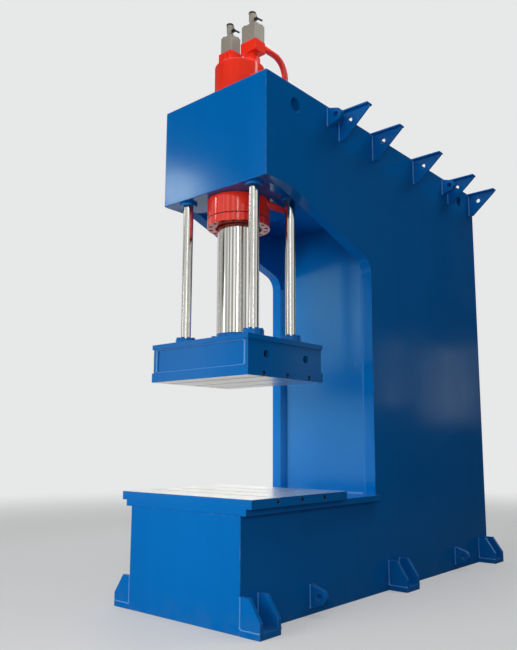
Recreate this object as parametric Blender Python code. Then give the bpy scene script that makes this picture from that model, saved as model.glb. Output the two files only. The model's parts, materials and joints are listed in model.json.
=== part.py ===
"""Single-column hydraulic press: a welded C-frame, a ram slide on four guide rods, and a T-slotted worktable.

The frame stands on Z = 0 with its open front towards -Y. Depths are measured back from the base's front face.
"""

from math import atan2, cos, pi, radians, sin, tan

import bmesh
import bpy
from mathutils import Matrix, Vector

# Frame outline
frame_width = 1.500
base_height = 0.990
throat_height = 3.215
head_height = 1.105
column_front = 2.180
column_depth = 2.885
head_front_margin = 0.119
cheek_reach = 0.375
cheek_drop = 0.510
throat_radius = 0.180
throat_steps = 6

# Frame plates
side_plate_thickness = 0.130
front_skin_thickness = 0.030
head_bottom_thickness = 0.100
head_bottom_reach = 0.726
head_rear_step = 0.045
head_rear_thickness = 0.040
head_top_thickness = 0.070
column_recess = 0.060
column_plate_thickness = 0.050
column_plate_foot = 0.060
column_plate_rise = 0.125
back_recess = 0.020
back_plate_thickness = 0.040
hoist_hole_radius = 0.075
hoist_hole_drop = 0.207
hoist_hole_front_margin = 0.464
hoist_hole_rear_margin = 0.445

# Worktable and the plate it is bolted to
table_overhang = 0.008
support_width = 1.640
support_thickness = 0.060
table_width = 1.770
table_depth = 1.440
table_thickness = 0.083
table_slot_middle = 0.700
daylight = 1.104
slot_pitch = 0.350
slot_neck_width = 0.022
slot_neck_depth = 0.026
slot_foot_width = 0.040
slot_foot_depth = 0.026
slot_steps = (-1, 0, 1)

# Anchor feet, with a foot plate between two gussets
foot_length = 0.275
foot_reach = 0.230
foot_plate_thickness = 0.055
foot_height = 0.322
foot_toe_height = 0.135
foot_top_width = 0.100
foot_gusset_thickness = 0.042
foot_bolt_radius = 0.024
middle_foot_depth = 2.420

# Lifting lugs
lug_thickness = 0.055
lug_root_height = 0.225
lug_hole_reach = 0.110
lug_hole_rise = 0.115
lug_hole_radius = 0.033
lug_nose_radius = 0.075
lug_nose_top_angle = 58
lug_nose_low_angle = -52
lug_nose_steps = 6
lower_lug_height = 0.056
lower_lug_front = 0.980
lower_lug_rear_margin = 1.000
upper_lug_drop = 0.020
upper_lug_front = 1.350
upper_lug_rear_margin = 0.975

# Platform brackets along the top of each side
bracket_reach = 0.405
bracket_height = 0.340
bracket_tip_height = 0.045
bracket_toe_width = 0.060
bracket_web_thickness = 0.020
bracket_flange_width = 0.100
bracket_flange_thickness = 0.020
bracket_hole_radius = 0.030
bracket_hole_reach = 0.148
bracket_hole_drop = 0.125
last_bracket_margin = 0.100
bracket_end_pitch = 0.700
bracket_middle_pitch = 0.990

# Ram axis, plunger and cylinder
ram_depth = 0.734
plunger_radius = 0.225
plunger_length = 2.242
piston_radius = 0.2346
piston_height = 0.140
piston_groove_width = 0.014
piston_groove_depth = 0.010
piston_groove_margin = 0.028
cylinder_radius = 0.280
cylinder_bore = 0.235
cylinder_stand = 0.430
cylinder_end_thickness = 0.120
cylinder_edge = 0.008
cylinder_flange_radius = 0.340
cylinder_flange_height = 0.223
bush_seat_radius = 0.270
bush_seat_height = 0.318
gland_height = 0.087
gland_bore = 0.232
gland_mouth_radius = 0.252
gland_mouth_depth = 0.022
gland_bolt_circle = 0.302
gland_bolt_hole_radius = 0.023
gland_bolt_hole_depth = 0.020
gland_bolt_count = 16
nut_radius = 0.330
nut_height = 0.050
nut_slot_width = 0.040
nut_slot_depth = 0.022
nut_slot_count = 4
port_radius = 0.040
port_reach = 0.226
port_root = 0.085

# Guide rods and their bushes
rod_radius = 0.055
rod_spread = 0.484
rod_offset = 0.290
rod_length = 2.592
rod_edge = 0.008
bush_bore = 0.0554
bush_radius = 0.080
bush_flange_radius = 0.095
bush_flange_height = 0.030
bush_length = 0.425
top_hole_radius = 0.066

# Slide
slide_width = 1.364
slide_depth = 1.154
slide_bottom_thickness = 0.095
slide_top_thickness = 0.050
slide_height = 0.391
slide_box_inset = 0.012
slide_front_recess = 0.015
slide_side_wall = 0.045
slide_cross_wall = 0.040
slide_rib = 0.030
slide_pocket_columns = 3
slide_pocket_rows = 2
slide_hole_radius = 0.040
slide_hole_spread = 0.606
rod_flange_radius = 0.108
rod_flange_height = 0.075
rod_bolt_circle = 0.083
rod_bolt_count = 8
rod_bolt_radius = 0.022
rod_bolt_height = 0.017
ram_flange_radius = 0.330
ram_flange_height = 0.050
ram_stub_height = 0.110
ram_bolt_circle = 0.285
ram_bolt_count = 12
ram_bolt_radius = 0.026
ram_bolt_height = 0.022

# Valves and pipes on the cylinder head
valve_stand = 0.245
cover_height = 0.200
left_valve_x = -0.150
left_base_width = 0.200
left_base_depth = 0.180
left_cover_width = 0.160
left_cover_depth = 0.150
boss_radius = 0.026
boss_pitch = 0.058
boss_count = 2
boss_drop = 0.030
right_valve_x = 0.195
right_base_width = 0.220
right_base_depth = 0.165
right_base_height = 0.130
right_neck_radius = 0.046
right_collar_radius = 0.080
right_collar_height = 0.076
right_collar_edge = 0.014
right_cover_width = 0.200
right_cover_depth = 0.155
cover_bolt_radius = 0.015
cover_bolt_height = 0.020
cover_bolt_inset = 0.024
pilot_radius = 0.039
pilot_cap_radius = 0.042
pilot_cap_height = 0.024
pilot_neck_radius = 0.021
pilot_neck_height = 0.018
pilot_cone_height = 0.060
pilot_height = 0.182
pilot_edge = 0.005
pilot_offset = 0.012
oil_pipe_radius = 0.036
oil_pipe_x = 0.262
oil_pipe_rise = 0.030
oil_pipe_run = 0.190
oil_pipe_bend = 0.200
pipe_flange_radius = 0.070
pipe_flange_height = 0.022
return_pipe_radius = 0.026
return_pipe_x = 0.300
return_pipe_drop = 0.062
return_pipe_run = 0.220
return_pipe_bend = 0.050
return_flange_height = 0.020

# Fits, facets and overruns
seam = 0.0003
bite = 0.004
overrun = 0.020
weld_distance = 0.00001
large_facets = 40
medium_facets = 20
small_facets = 8
hexagon = 6
bend_steps = 6

# Places worked out from the sizes above
frame_depth = column_front + column_depth
front_y = -(frame_depth - table_overhang) / 2
head_bottom = base_height + throat_height
frame_height = head_bottom + head_height
head_setback = ram_depth - rod_offset - head_front_margin
half_width = frame_width / 2
inner_half = half_width - side_plate_thickness
head_inside = head_setback + front_skin_thickness + seam
head_bottom_end = ram_depth + head_bottom_reach
cheek_start = head_setback + cheek_reach
cheek_bottom = head_bottom - cheek_drop
column_plate_front = column_front + column_recess
back_plate_front = frame_depth - back_recess - back_plate_thickness
support_top = base_height + support_thickness
table_top = support_top + table_thickness
slide_front = ram_depth - slide_depth / 2
slide_back = ram_depth + slide_depth / 2
slide_bottom = table_top + daylight
slide_top = slide_bottom + slide_height
rod_top = slide_top + rod_length
plunger_bottom = slide_top + ram_stub_height
piston_bottom = plunger_bottom + plunger_length
hoist_hole_front = head_setback + hoist_hole_front_margin
hoist_hole_height = frame_height - hoist_hole_drop
cylinder_top = frame_height + cylinder_stand
cylinder_ceiling = cylinder_top - cylinder_end_thickness
cylinder_flange_bottom = head_bottom - cylinder_flange_height
gland_bottom = cylinder_flange_bottom - gland_height
valve_deck = cylinder_top + valve_stand
cover_top = valve_deck + cover_height

sides = {"left": -1, "right": 1}
ends = {"front": -1, "rear": 1}
bracket_pitches = (bracket_end_pitch, bracket_middle_pitch, bracket_middle_pitch, bracket_end_pitch)
first_bracket = frame_depth - last_bracket_margin - sum(bracket_pitches)


def clear_scene():
    for old in list(bpy.data.objects):
        bpy.data.objects.remove(old, do_unlink=True)


def new_material(name, colour, roughness, metallic):
    made = bpy.data.materials.new(name)
    made.use_nodes = True
    shader = made.node_tree.nodes["Principled BSDF"]
    shader.inputs["Base Color"].default_value = (*colour, 1)
    shader.inputs["Roughness"].default_value = roughness
    shader.inputs["Metallic"].default_value = metallic
    made.diffuse_color = (*colour, 1)
    return made


def place(x, depth, z):
    """A point from its X, its depth behind the base's front face, and its height."""
    return Vector((x, front_y + depth, z))


def keep(name, bm, material, location=(0, 0, 0), parent=None):
    """Store a finished mesh as an object at its place, smooth on its round faces."""
    mesh = bpy.data.meshes.new(name)
    bm.to_mesh(mesh)
    bm.free()
    mesh.shade_smooth()
    mesh.set_sharp_from_angle(angle=radians(30))
    made = bpy.data.objects.new(name, mesh)
    bpy.context.scene.collection.objects.link(made)
    made.location = location
    if material is not None:
        mesh.materials.append(material)
    if parent is not None:
        made.parent = parent
        made.matrix_parent_inverse = Matrix.Translation(-parent.location)
    return made


def tool(name, bm, location=(0, 0, 0)):
    """A shape that only cuts or joins another one."""
    made = keep(name, bm, None, location)
    made.hide_render = True
    made.display_type = "WIRE"
    return made


def combine(target, other, operation):
    step = target.modifiers.new(other.name, "BOOLEAN")
    step.operation = operation
    step.solver = "EXACT"
    step.object = other


def block(low, high):
    """A box between two corners."""
    bm = bmesh.new()
    add_block(bm, low, high)
    return bm


def add_block(bm, low, high):
    low, high = Vector(low), Vector(high)
    made = bmesh.ops.create_cube(bm, size=1)["verts"]
    bmesh.ops.scale(bm, vec=high - low, verts=made)
    bmesh.ops.translate(bm, vec=(low + high) / 2, verts=made)


def extruded(points, along):
    """A flat outline drawn out along a direction."""
    bm = bmesh.new()
    face = bm.faces.new([bm.verts.new(p) for p in points])
    grown = bmesh.ops.extrude_face_region(bm, geom=[face])["geom"]
    moved = [g for g in grown if isinstance(g, bmesh.types.BMVert)]
    bmesh.ops.translate(bm, vec=along, verts=moved)
    bmesh.ops.recalc_face_normals(bm, faces=bm.faces)
    return bm


def turned(profile, facets, ring=False):
    """A profile of (radius, height) points turned about Z. A ring's profile closes on itself."""
    bm = bmesh.new()
    add_turned(bm, profile, facets, ring)
    return bm


def add_turned(bm, profile, facets, ring=False, shift=(0, 0, 0)):
    points = [bm.verts.new((radius, 0, height)) for radius, height in profile]
    following = points[1:] + points[:1] if ring else points[1:]
    edges = [bm.edges.new(pair) for pair in zip(points, following)]
    start = len(bm.faces)
    bmesh.ops.spin(bm, geom=points + edges, cent=(0, 0, 0), axis=(0, 0, 1), angle=2 * pi, steps=facets,
                   use_merge=True)
    bm.faces.ensure_lookup_table()
    faces = bm.faces[start:]
    made = list({v for f in faces for v in f.verts})
    bmesh.ops.translate(bm, vec=shift, verts=made)
    bmesh.ops.remove_doubles(bm, verts=made, dist=weld_distance)
    bmesh.ops.recalc_face_normals(bm, faces=bm.faces)


def add_rod(bm, radius, bottom, top, facets, shift=(0, 0, 0)):
    add_turned(bm, [(0, top), (radius, top), (radius, bottom), (0, bottom)], facets, shift=shift)


def cross_holes(name, radius, low, high, centres, facets):
    """Cutters for round holes that run along X from low to high, at (depth, height) centres."""
    bm = bmesh.new()
    for depth, height in centres:
        add_rod(bm, radius, low, high, facets, shift=(-height, depth, 0))
    bmesh.ops.rotate(bm, verts=bm.verts, matrix=Matrix.Rotation(pi / 2, 3, "Y"))
    return tool(name, bm, place(0, 0, 0))


def upright_holes(name, radius, bottom, top, centres, facets):
    """Cutters for round upright holes at (X, depth) centres."""
    bm = bmesh.new()
    for x, depth in centres:
        add_rod(bm, radius, bottom, top, facets, shift=(x, depth, 0))
    return tool(name, bm, place(0, 0, 0))


def bolt_heads(name, centres, radius, seat, height):
    """Hexagon bolt heads that stand on a seat, with their roots in it."""
    bm = bmesh.new()
    for x, depth in centres:
        add_rod(bm, radius, seat - bite, seat + height, hexagon, shift=(x, depth, 0))
    return tool(name, bm, place(0, 0, 0))


def circle_of(count, radius, middle=(0, 0)):
    """Evenly spaced places on a circle, starting half a step round."""
    turns = [2 * pi * (step + 0.5) / count for step in range(count)]
    return [(middle[0] + radius * cos(turn), middle[1] + radius * sin(turn)) for turn in turns]


def rod_places():
    return {
        f"{end}_{side}": (across * rod_spread, ram_depth + along * rod_offset)
        for end, along in ends.items()
        for side, across in sides.items()
    }


def slot_outline(middle, surface, into):
    """One T-slot's outline in (depth, height), from its rear lip to its front lip."""
    neck = slot_neck_width / 2
    foot = slot_foot_width / 2
    shoulder = surface + into * slot_neck_depth
    floor = shoulder + into * slot_foot_depth
    return [
        (middle + neck, surface),
        (middle + neck, shoulder),
        (middle + foot, shoulder),
        (middle + foot, floor),
        (middle - foot, floor),
        (middle - foot, shoulder),
        (middle - neck, shoulder),
        (middle - neck, surface),
    ]


def slotted_plate(front, back, plain, slotted, middle, width):
    """A plate across the press whose slotted face carries T-slots that run along X."""
    into = 1 if plain > slotted else -1
    outline = [(front, plain), (back, plain), (back, slotted)]
    for step in reversed(slot_steps):
        outline += slot_outline(middle + step * slot_pitch, slotted, into)
    outline.append((front, slotted))
    return extruded([(-width / 2, depth, height) for depth, height in outline], (width, 0, 0))


def throat_corner():
    """The throat's rounded corner in (depth, height), from the cheek's slope down to the column."""
    slope = atan2(head_bottom - cheek_bottom, column_front - cheek_start)
    sweep = pi / 2 - slope
    middle_depth = column_front - throat_radius
    middle_height = cheek_bottom - throat_radius * tan(sweep / 2)
    turns = [sweep * (1 - step / throat_steps) for step in range(throat_steps + 1)]
    return [(middle_depth + throat_radius * cos(turn), middle_height + throat_radius * sin(turn))
            for turn in turns]


def make_side_plates(paint, parent):
    base_inside = front_skin_thickness + seam
    outline = [
        (base_inside, 0),
        (frame_depth, 0),
        (frame_depth, frame_height),
        (head_inside, frame_height),
        (head_inside, head_bottom),
        (cheek_start, head_bottom),
        *throat_corner(),
        (column_front, base_height),
        (base_inside, base_height),
    ]
    centres = [
        (hoist_hole_front, hoist_hole_height),
        (frame_depth - hoist_hole_rear_margin, hoist_hole_height),
    ]
    for side, across in sides.items():
        plate = extruded([(0, depth, height) for depth, height in outline], (across * side_plate_thickness, 0, 0))
        made = keep(f"{side}_side_plate", plate, paint, place(across * inner_half, 0, 0), parent)
        low, high = sorted((across * (inner_half - overrun), across * (half_width + overrun)))
        holes = cross_holes(f"{side}_hoist_holes", hoist_hole_radius, low, high, centres, large_facets)
        combine(made, holes, "DIFFERENCE")


def make_cross_plates(paint, parent):
    inside = inner_half - seam
    origin = place(0, 0, 0)

    def cross_plate(name, half, front, back, bottom, top):
        return keep(name, block((-half, front, bottom), (half, back, top)), paint, origin, parent)

    head_front = head_setback + front_skin_thickness
    cross_plate("head_front_plate", half_width, head_setback, head_front, head_bottom, frame_height)
    floor_top = head_bottom + head_bottom_thickness
    floor = cross_plate("head_bottom_plate", inside, head_inside, head_bottom_end, head_bottom, floor_top)
    rear_bottom = head_bottom + head_rear_step
    cross_plate("head_rear_plate", inside, head_bottom_end + seam, column_plate_front - seam, rear_bottom,
                rear_bottom + head_rear_thickness)
    roof = cross_plate("head_top_plate", inside, head_inside, back_plate_front - seam,
                       frame_height - head_top_thickness, frame_height)
    cross_plate("column_front_plate", inside, column_plate_front, column_plate_front + column_plate_thickness,
                base_height - column_plate_foot, head_bottom + column_plate_rise)
    cross_plate("column_back_plate", inside, back_plate_front, back_plate_front + back_plate_thickness, 0,
                frame_height)
    cross_plate("base_front_plate", half_width, 0, front_skin_thickness, 0, base_height)

    rods = list(rod_places().values())
    low, high = head_bottom - overrun, frame_height + overrun
    body_hole = upright_holes("cylinder_hole", cylinder_radius + seam, low, high, [(0, ram_depth)], large_facets)
    bush_holes = upright_holes("bush_holes", bush_radius + seam, low, floor_top + overrun, rods, medium_facets)
    rod_holes = upright_holes("rod_holes", top_hole_radius, floor_top + overrun, high, rods, medium_facets)
    combine(floor, body_hole, "DIFFERENCE")
    combine(floor, bush_holes, "DIFFERENCE")
    combine(roof, body_hole, "DIFFERENCE")
    combine(roof, rod_holes, "DIFFERENCE")


def make_table(paint, steel, parent):
    front = -table_overhang
    half = support_width / 2
    tongue = inner_half - seam
    shelf = column_front - seam
    outline = [
        (-half, front),
        (half, front),
        (half, shelf),
        (tongue, shelf),
        (tongue, column_plate_front - seam),
        (-tongue, column_plate_front - seam),
        (-tongue, shelf),
        (-half, shelf),
    ]
    bottom = base_height + seam
    support = extruded([(x, depth, bottom) for x, depth in outline], (0, 0, support_top - bottom))
    keep("table_support", support, paint, place(0, 0, 0), parent)
    table = slotted_plate(front, front + table_depth, support_top + seam, table_top, table_slot_middle, table_width)
    keep("worktable", table, steel, place(0, 0, 0), parent)


def make_anchor_feet(paint, parent):
    outline = [
        (0, 0),
        (foot_reach, 0),
        (foot_reach, foot_toe_height),
        (foot_top_width, foot_height),
        (0, foot_height),
    ]
    starts = {"front": 0, "middle": middle_foot_depth, "rear": frame_depth - foot_length}
    for side, across in sides.items():
        for spot, start in starts.items():
            name = f"anchor_foot_{side}_{spot}"
            where = place(across * (half_width + seam), start, 0)
            foot = keep(name, extruded([(across * x, 0, z) for x, z in outline], (0, foot_length, 0)), paint, where,
                        parent)
            low, high = sorted((-across * overrun, across * (foot_reach + overrun)))
            pocket = block((low, foot_gusset_thickness, foot_plate_thickness),
                           (high, foot_length - foot_gusset_thickness, foot_height + overrun))
            combine(foot, tool(f"{name}_pocket", pocket, where), "DIFFERENCE")
            hole = bmesh.new()
            add_rod(hole, foot_bolt_radius, -overrun, foot_plate_thickness + overrun, small_facets,
                    shift=(across * foot_reach / 2, foot_length / 2, 0))
            combine(foot, tool(f"{name}_bolt_hole", hole, where), "DIFFERENCE")


def lug_outline():
    """A lug in (reach, rise) from its root: a round nose about the hole, with straight flanks to the root."""
    span = lug_nose_top_angle - lug_nose_low_angle
    nose = []
    for step in range(lug_nose_steps + 1):
        turn = radians(lug_nose_low_angle + span * step / lug_nose_steps)
        nose.append((lug_hole_reach + lug_nose_radius * cos(turn), lug_hole_rise + lug_nose_radius * sin(turn)))
    return [(0, 0), *nose, (0, lug_root_height)]


def make_lugs(paint, parent):
    upper_height = frame_height - upper_lug_drop - lug_root_height
    levels = {
        "lower": (lower_lug_height, {"front": lower_lug_front, "rear": frame_depth - lower_lug_rear_margin}),
        "upper": (upper_height, {"front": upper_lug_front, "rear": frame_depth - upper_lug_rear_margin}),
    }
    for level, (height, depths) in levels.items():
        for side, across in sides.items():
            for spot, depth in depths.items():
                name = f"{level}_lug_{side}_{spot}"
                where = place(across * (half_width + seam), depth, height)
                outline = [(across * reach, 0, rise) for reach, rise in lug_outline()]
                lug = keep(name, extruded(outline, (0, lug_thickness, 0)), paint, where, parent)
                hole = bmesh.new()
                add_rod(hole, lug_hole_radius, -lug_thickness - overrun, overrun, medium_facets)
                bmesh.ops.rotate(hole, verts=hole.verts, matrix=Matrix.Rotation(pi / 2, 3, "X"))
                bmesh.ops.translate(hole, vec=(across * lug_hole_reach, 0, lug_hole_rise), verts=hole.verts)
                combine(lug, tool(f"{name}_hole", hole, where), "DIFFERENCE")


def make_brackets(paint, parent):
    root = bracket_flange_thickness / 2
    outline = [
        (0, -root),
        (bracket_reach, -root),
        (bracket_reach, -bracket_tip_height),
        (bracket_toe_width, -bracket_height),
        (0, -bracket_height),
    ]
    half = bracket_flange_width / 2
    web_half = bracket_web_thickness / 2
    for side, across in sides.items():
        depth = first_bracket
        for number in range(len(bracket_pitches) + 1):
            name = f"platform_bracket_{side}_{number + 1}"
            where = place(across * (half_width + seam), depth, frame_height)
            flange = block((0, -half, -bracket_flange_thickness), (bracket_reach, half, 0))
            if across < 0:
                bmesh.ops.translate(flange, vec=(-bracket_reach, 0, 0), verts=flange.verts)
            bracket = keep(name, flange, paint, where, parent)
            web = extruded([(across * x, -web_half, z) for x, z in outline], (0, bracket_web_thickness, 0))
            combine(bracket, tool(f"{name}_web", web, where), "UNION")
            hole = bmesh.new()
            add_rod(hole, bracket_hole_radius, -web_half - overrun, web_half + overrun, medium_facets)
            bmesh.ops.rotate(hole, verts=hole.verts, matrix=Matrix.Rotation(pi / 2, 3, "X"))
            bmesh.ops.translate(hole, vec=(across * bracket_hole_reach, 0, -bracket_hole_drop), verts=hole.verts)
            combine(bracket, tool(f"{name}_hole", hole, where), "DIFFERENCE")
            if number < len(bracket_pitches):
                depth += bracket_pitches[number]


def make_cylinder(red, bronze, parent):
    axis = place(0, ram_depth, 0)
    flange_top = head_bottom - seam
    seat_top = cylinder_flange_bottom + bush_seat_height
    body = turned(
        [
            (0, cylinder_top),
            (cylinder_radius - cylinder_edge, cylinder_top),
            (cylinder_radius, cylinder_top - cylinder_edge),
            (cylinder_radius, flange_top),
            (cylinder_flange_radius, flange_top),
            (cylinder_flange_radius, cylinder_flange_bottom),
            (bush_seat_radius, cylinder_flange_bottom),
            (bush_seat_radius, seat_top),
            (cylinder_bore, seat_top),
            (cylinder_bore, cylinder_ceiling),
            (0, cylinder_ceiling),
        ],
        large_facets,
    )
    cylinder = keep("cylinder", body, red, axis, parent)
    port = bmesh.new()
    add_rod(port, port_radius, -port_reach, -port_root, medium_facets)
    bmesh.ops.rotate(port, verts=port.verts, matrix=Matrix.Rotation(pi / 2, 3, "X"))
    bmesh.ops.translate(port, vec=(return_pipe_x, 0, head_bottom - return_pipe_drop), verts=port.verts)
    combine(cylinder, tool("cylinder_port", port, axis), "UNION")

    ring_top = cylinder_flange_bottom - seam
    mouth_top = gland_bottom + gland_mouth_depth
    ring = turned(
        [
            (cylinder_flange_radius, ring_top),
            (cylinder_flange_radius, gland_bottom),
            (gland_mouth_radius, gland_bottom),
            (gland_mouth_radius, mouth_top),
            (gland_bore, mouth_top),
            (gland_bore, ring_top),
        ],
        large_facets,
        ring=True,
    )
    gland = keep("gland_ring", ring, red, axis, parent)
    centres = [(x, depth + ram_depth) for x, depth in circle_of(gland_bolt_count, gland_bolt_circle)]
    recesses = upright_holes("gland_recesses", gland_bolt_hole_radius, gland_bottom - overrun,
                             gland_bottom + gland_bolt_hole_depth, centres, small_facets)
    combine(gland, recesses, "DIFFERENCE")

    bush_outer = bush_seat_radius - seam
    bush_inner = plunger_radius + seam
    bush_low = cylinder_flange_bottom
    bush_high = seat_top - seam
    bush = [(bush_outer, bush_high), (bush_outer, bush_low), (bush_inner, bush_low), (bush_inner, bush_high)]
    keep("gland_bush", turned(bush, large_facets, ring=True), bronze, axis, parent)

    low = frame_height + seam
    high = low + nut_height
    thread = cylinder_radius + seam
    nut_profile = [(nut_radius, high), (nut_radius, low), (thread, low), (thread, high)]
    nut = keep("cylinder_nut", turned(nut_profile, large_facets, ring=True), red, axis, parent)
    slots = bmesh.new()
    half = nut_slot_width / 2
    for step in range(nut_slot_count):
        before = set(slots.verts)
        add_block(slots, (nut_radius - nut_slot_depth, -half, low - overrun),
                  (nut_radius + overrun, half, high + overrun))
        made = [v for v in slots.verts if v not in before]
        turn = 2 * pi * step / nut_slot_count
        bmesh.ops.rotate(slots, verts=made, matrix=Matrix.Rotation(turn, 3, "Z"))
    combine(nut, tool("nut_slots", slots, axis), "DIFFERENCE")


def make_guide_bushes(paint, parent):
    low = head_bottom - bush_flange_height
    shoulder = head_bottom - seam
    profile = [
        (bush_radius, low + bush_length),
        (bush_radius, shoulder),
        (bush_flange_radius, shoulder),
        (bush_flange_radius, low),
        (bush_bore, low),
        (bush_bore, low + bush_length),
    ]
    for spot, (x, depth) in rod_places().items():
        bush = turned(profile, medium_facets, ring=True)
        keep(f"guide_bush_{spot}", bush, paint, place(x, depth, 0), parent)


def make_valve(side, x, base, red, grey, parent):
    """The cover block and the pilot on top of one valve base."""
    axis = place(x, ram_depth, 0)
    width, depth = base
    half_x, half_y = width / 2, depth / 2
    cover = keep(f"{side}_valve_cover", block((-half_x, -half_y, valve_deck), (half_x, half_y, cover_top)), grey,
                 axis, parent)
    bolts = bmesh.new()
    for across in sides.values():
        for along in ends.values():
            where = (across * (half_x - cover_bolt_inset), along * (half_y - cover_bolt_inset), 0)
            add_rod(bolts, cover_bolt_radius, cover_top - bite, cover_top + cover_bolt_height, small_facets,
                    shift=where)
    combine(cover, tool(f"{side}_cover_bolts", bolts, axis), "UNION")
    low = cover_top + seam
    neck = low + pilot_neck_height
    high = low + pilot_height
    pilot = turned(
        [
            (0, high),
            (pilot_cap_radius - pilot_edge, high),
            (pilot_cap_radius, high - pilot_edge),
            (pilot_cap_radius, high - pilot_cap_height),
            (pilot_radius, high - pilot_cap_height),
            (pilot_radius, neck + pilot_cone_height),
            (pilot_neck_radius, neck),
            (pilot_neck_radius, low),
            (0, low),
        ],
        medium_facets,
    )
    keep(f"{side}_pilot_valve", pilot, grey, place(x - pilot_offset, ram_depth, 0), parent)


def make_valves(red, grey, parent):
    low = cylinder_top + seam
    high = valve_deck - seam
    half_x, half_y = left_base_width / 2, left_base_depth / 2
    axis = place(left_valve_x, ram_depth, 0)
    left = keep("left_valve_base", block((-half_x, -half_y, low), (half_x, half_y, high)), red, axis, parent)
    bosses = bmesh.new()
    for step in range(boss_count):
        where = (half_x - boss_radius - step * boss_pitch, -half_y, 0)
        add_rod(bosses, boss_radius, low, high - boss_drop, medium_facets, shift=where)
    combine(left, tool("left_base_bosses", bosses, axis), "UNION")
    make_valve("left", left_valve_x, (left_cover_width, left_cover_depth), red, grey, parent)

    half_x, half_y = right_base_width / 2, right_base_depth / 2
    axis = place(right_valve_x, ram_depth, 0)
    bottom = valve_deck - right_base_height
    right = keep("right_valve_base", block((-half_x, -half_y, bottom), (half_x, half_y, high)), red, axis, parent)
    shoulder = low + right_collar_height
    neck = turned(
        [
            (0, bottom + bite),
            (right_neck_radius, bottom + bite),
            (right_neck_radius, shoulder),
            (right_collar_radius - right_collar_edge, shoulder),
            (right_collar_radius, shoulder - right_collar_edge),
            (right_collar_radius, low),
            (0, low),
        ],
        medium_facets,
    )
    combine(right, tool("right_base_neck", neck, axis), "UNION")
    make_valve("right", right_valve_x, (right_cover_width, right_cover_depth), red, grey, parent)


def swept(rings, facets):
    """A closed pipe through rings of (depth, height, tilt, radius). A ring without tilt faces along Y."""
    bm = bmesh.new()
    loops = []
    for y, z, tilt, radius in rings:
        loop = []
        for step in range(facets):
            turn = 2 * pi * step / facets
            across, up = radius * cos(turn), radius * sin(turn)
            loop.append(bm.verts.new((across, y - up * sin(tilt), z + up * cos(tilt))))
        loops.append(loop)
    for near, far in zip(loops, loops[1:]):
        for step in range(facets):
            following = (step + 1) % facets
            bm.faces.new((near[step], near[following], far[following], far[step]))
    bm.faces.new(loops[0])
    bm.faces.new(loops[-1])
    bmesh.ops.recalc_face_normals(bm, faces=bm.faces)
    return bm


def bend_rings(run, bend, radius, way):
    """The rings of a quarter bend that starts after a run along Y and turns up (1) or down (-1)."""
    rings = []
    for step in range(bend_steps + 1):
        turn = pi / 2 * step / bend_steps
        rings.append((run + bend * sin(turn), way * bend * (1 - cos(turn)), way * turn, radius))
    return rings


def make_pipes(red, parent):
    height = valve_deck - oil_pipe_rise
    start = ram_depth + right_base_depth / 2 + seam
    foot = frame_height + seam - height
    collar = foot + pipe_flange_height
    reach = oil_pipe_run + oil_pipe_bend
    rings = [(0, 0, 0, oil_pipe_radius)] + bend_rings(oil_pipe_run, oil_pipe_bend, oil_pipe_radius, -1)
    rings += [
        (reach, collar, -pi / 2, oil_pipe_radius),
        (reach, collar, -pi / 2, pipe_flange_radius),
        (reach, foot, -pi / 2, pipe_flange_radius),
    ]
    keep("oil_pipe", swept(rings, medium_facets), red, place(oil_pipe_x, start, height), parent)

    height = head_bottom - return_pipe_drop
    start = ram_depth + port_reach + seam
    rings = [
        (0, 0, 0, port_radius),
        (return_flange_height, 0, 0, port_radius),
        (return_flange_height, 0, 0, return_pipe_radius),
    ]
    rings += bend_rings(return_pipe_run, return_pipe_bend, return_pipe_radius, 1)
    rings.append((return_pipe_run + return_pipe_bend, return_pipe_drop - seam, pi / 2, return_pipe_radius))
    keep("return_pipe", swept(rings, medium_facets), red, place(return_pipe_x, start, height), parent)


def make_ram(chrome, paint, parent):
    axis = place(0, ram_depth, 0)
    top = piston_bottom + piston_height
    groove_radius = piston_radius - piston_groove_depth
    profile = [(0, top), (piston_radius, top)]
    grooves = (top - piston_groove_margin, piston_bottom + piston_groove_margin + piston_groove_width)
    for upper in grooves:
        profile += [
            (piston_radius, upper),
            (groove_radius, upper),
            (groove_radius, upper - piston_groove_width),
            (piston_radius, upper - piston_groove_width),
        ]
    profile += [
        (piston_radius, piston_bottom),
        (plunger_radius, piston_bottom),
        (plunger_radius, plunger_bottom + seam),
        (0, plunger_bottom + seam),
    ]
    keep("plunger", turned(profile, large_facets), chrome, axis, parent)

    low = slide_top + seam
    shoulder = low + ram_flange_height
    flange = turned(
        [
            (0, plunger_bottom),
            (plunger_radius, plunger_bottom),
            (plunger_radius, shoulder),
            (ram_flange_radius, shoulder),
            (ram_flange_radius, low),
            (0, low),
        ],
        large_facets,
    )
    made = keep("ram_flange", flange, paint, axis, parent)
    centres = [(x, depth + ram_depth) for x, depth in circle_of(ram_bolt_count, ram_bolt_circle)]
    bolts = bolt_heads("ram_flange_bolts", centres, ram_bolt_radius, shoulder, ram_bolt_height)
    combine(made, bolts, "UNION")


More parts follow.
